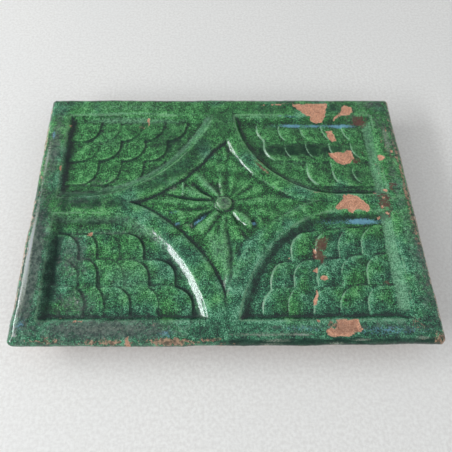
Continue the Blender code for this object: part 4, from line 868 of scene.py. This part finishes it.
# ---- floor ------------------------------------------------------------------------------------
floor_mesh = bpy.data.meshes.new("pale_floor")
floor_mesh.from_pydata([(-4, -4, -0.00006), (4, -4, -0.00006), (4, 4, -0.00006), (-4, 4, -0.00006)], [], [(0, 1, 2, 3)])
floor = bpy.data.objects.new("pale_floor", floor_mesh)
bpy.context.scene.collection.objects.link(floor)
fmat = bpy.data.materials.new("pale_floor")
fmat.use_nodes = True
fn = Nodes(fmat.node_tree)
fb = fmat.node_tree.nodes["Principled BSDF"]
where = fn.add("ShaderNodeTexCoord").outputs["Object"]
fine_grain = fn.noise(where, 420.0, 3.0, 0.6)
cloudy = fn.noise(where, 9.0, 3.0, 0.5)
fcol = fn.mix(fn.span(fine_grain, 0.3, 0.7), (0.685, 0.662, 0.632), (0.79, 0.775, 0.745))
fcol = fn.mix(fn.span(cloudy, 0.3, 0.7, 0.0, 0.3), fcol, (0.71, 0.70, 0.68))
fmat.node_tree.links.new(fcol, fb.inputs["Base Color"])
fb.inputs["Roughness"].default_value = 0.7
floor_mesh.materials.append(fmat)


# ---- light ------------------------------------------------------------------------------------
def area_light(name, at, size_x, size_y, power, colour, mirrored=True):
    data = bpy.data.lights.new(name, "AREA")
    data.shape = "RECTANGLE"
    data.size, data.size_y, data.energy, data.color = size_x, size_y, power, colour
    lamp = bpy.data.objects.new(name, data)
    bpy.context.scene.collection.objects.link(lamp)
    toward = (Matrix.Translation((0, 0, 0.05)).to_translation() - Matrix.Translation(at).to_translation()).normalized()
    lamp.location = at
    lamp.visible_glossy = mirrored
    lamp.rotation_euler = toward.to_track_quat("-Z", "Y").to_euler()
    return lamp


area_light("window_strip", (-1.44, -0.33, 0.74), 1.95, 0.25, 26.0, (0.93, 0.965, 1.0))
area_light("window_back", (-1.28, 0.48, 0.98), 0.7, 0.6, 3.5, (1.0, 0.985, 0.96))
area_light("window_front", (-1.30, -1.00, 0.80), 1.1, 0.9, 1.5, (1.0, 0.985, 0.96), False)
area_light("soft_front", (1.40, -1.60, 1.10), 2.6, 1.8, 13.0, (1.0, 0.985, 0.96), False)
area_light("soft_right", (2.00, 0.20, 0.90), 2.4, 1.2, 4.0, (1.0, 0.985, 0.96), False)
world = bpy.data.worlds.new("room")
world.use_nodes = True
world.node_tree.nodes["Background"].inputs["Color"].default_value = (0.80, 0.84, 0.88, 1)
world.node_tree.nodes["Background"].inputs["Strength"].default_value = 0.595
bpy.context.scene.world = world
bpy.context.scene.view_settings.view_transform = "Standard"
bpy.context.scene.view_settings.look = "None"
bpy.context.scene.view_settings.exposure = 0.0

# ---- camera -----------------------------------------------------------------------------------
YAW, PITCH, ROLL = 0.0277652, 1.1134999, 0.0220977
FOCAL_PX, CENTRE_PX = 430.0, 208.0
ahead = np.array([math.sin(YAW) * math.cos(PITCH), math.cos(YAW) * math.cos(PITCH), -math.sin(PITCH)])
right = np.array([math.cos(YAW), -math.sin(YAW), 0.0])
up = np.cross(right, ahead)
right, up = math.cos(ROLL) * right + math.sin(ROLL) * up, -math.sin(ROLL) * right + math.cos(ROLL) * up
cam_data = bpy.data.cameras.new("camera")
cam_data.sensor_width = 36.0
cam_data.lens = FOCAL_PX / 452 * 36.0
cam_data.shift_x = (226.0 - CENTRE_PX) / 452
cam_data.clip_start, cam_data.clip_end = 0.01, 50.0
camera = bpy.data.objects.new("camera", cam_data)
bpy.context.scene.collection.objects.link(camera)
turn = Matrix(((right[0], up[0], -ahead[0]), (right[1], up[1], -ahead[1]), (right[2], up[2], -ahead[2])))
camera.matrix_world = Matrix.Translation((-17.417 * MM, -166.685 * MM, (FACE_Z + 297.906) * MM)) @ turn.to_4x4()
bpy.context.scene.camera = camera
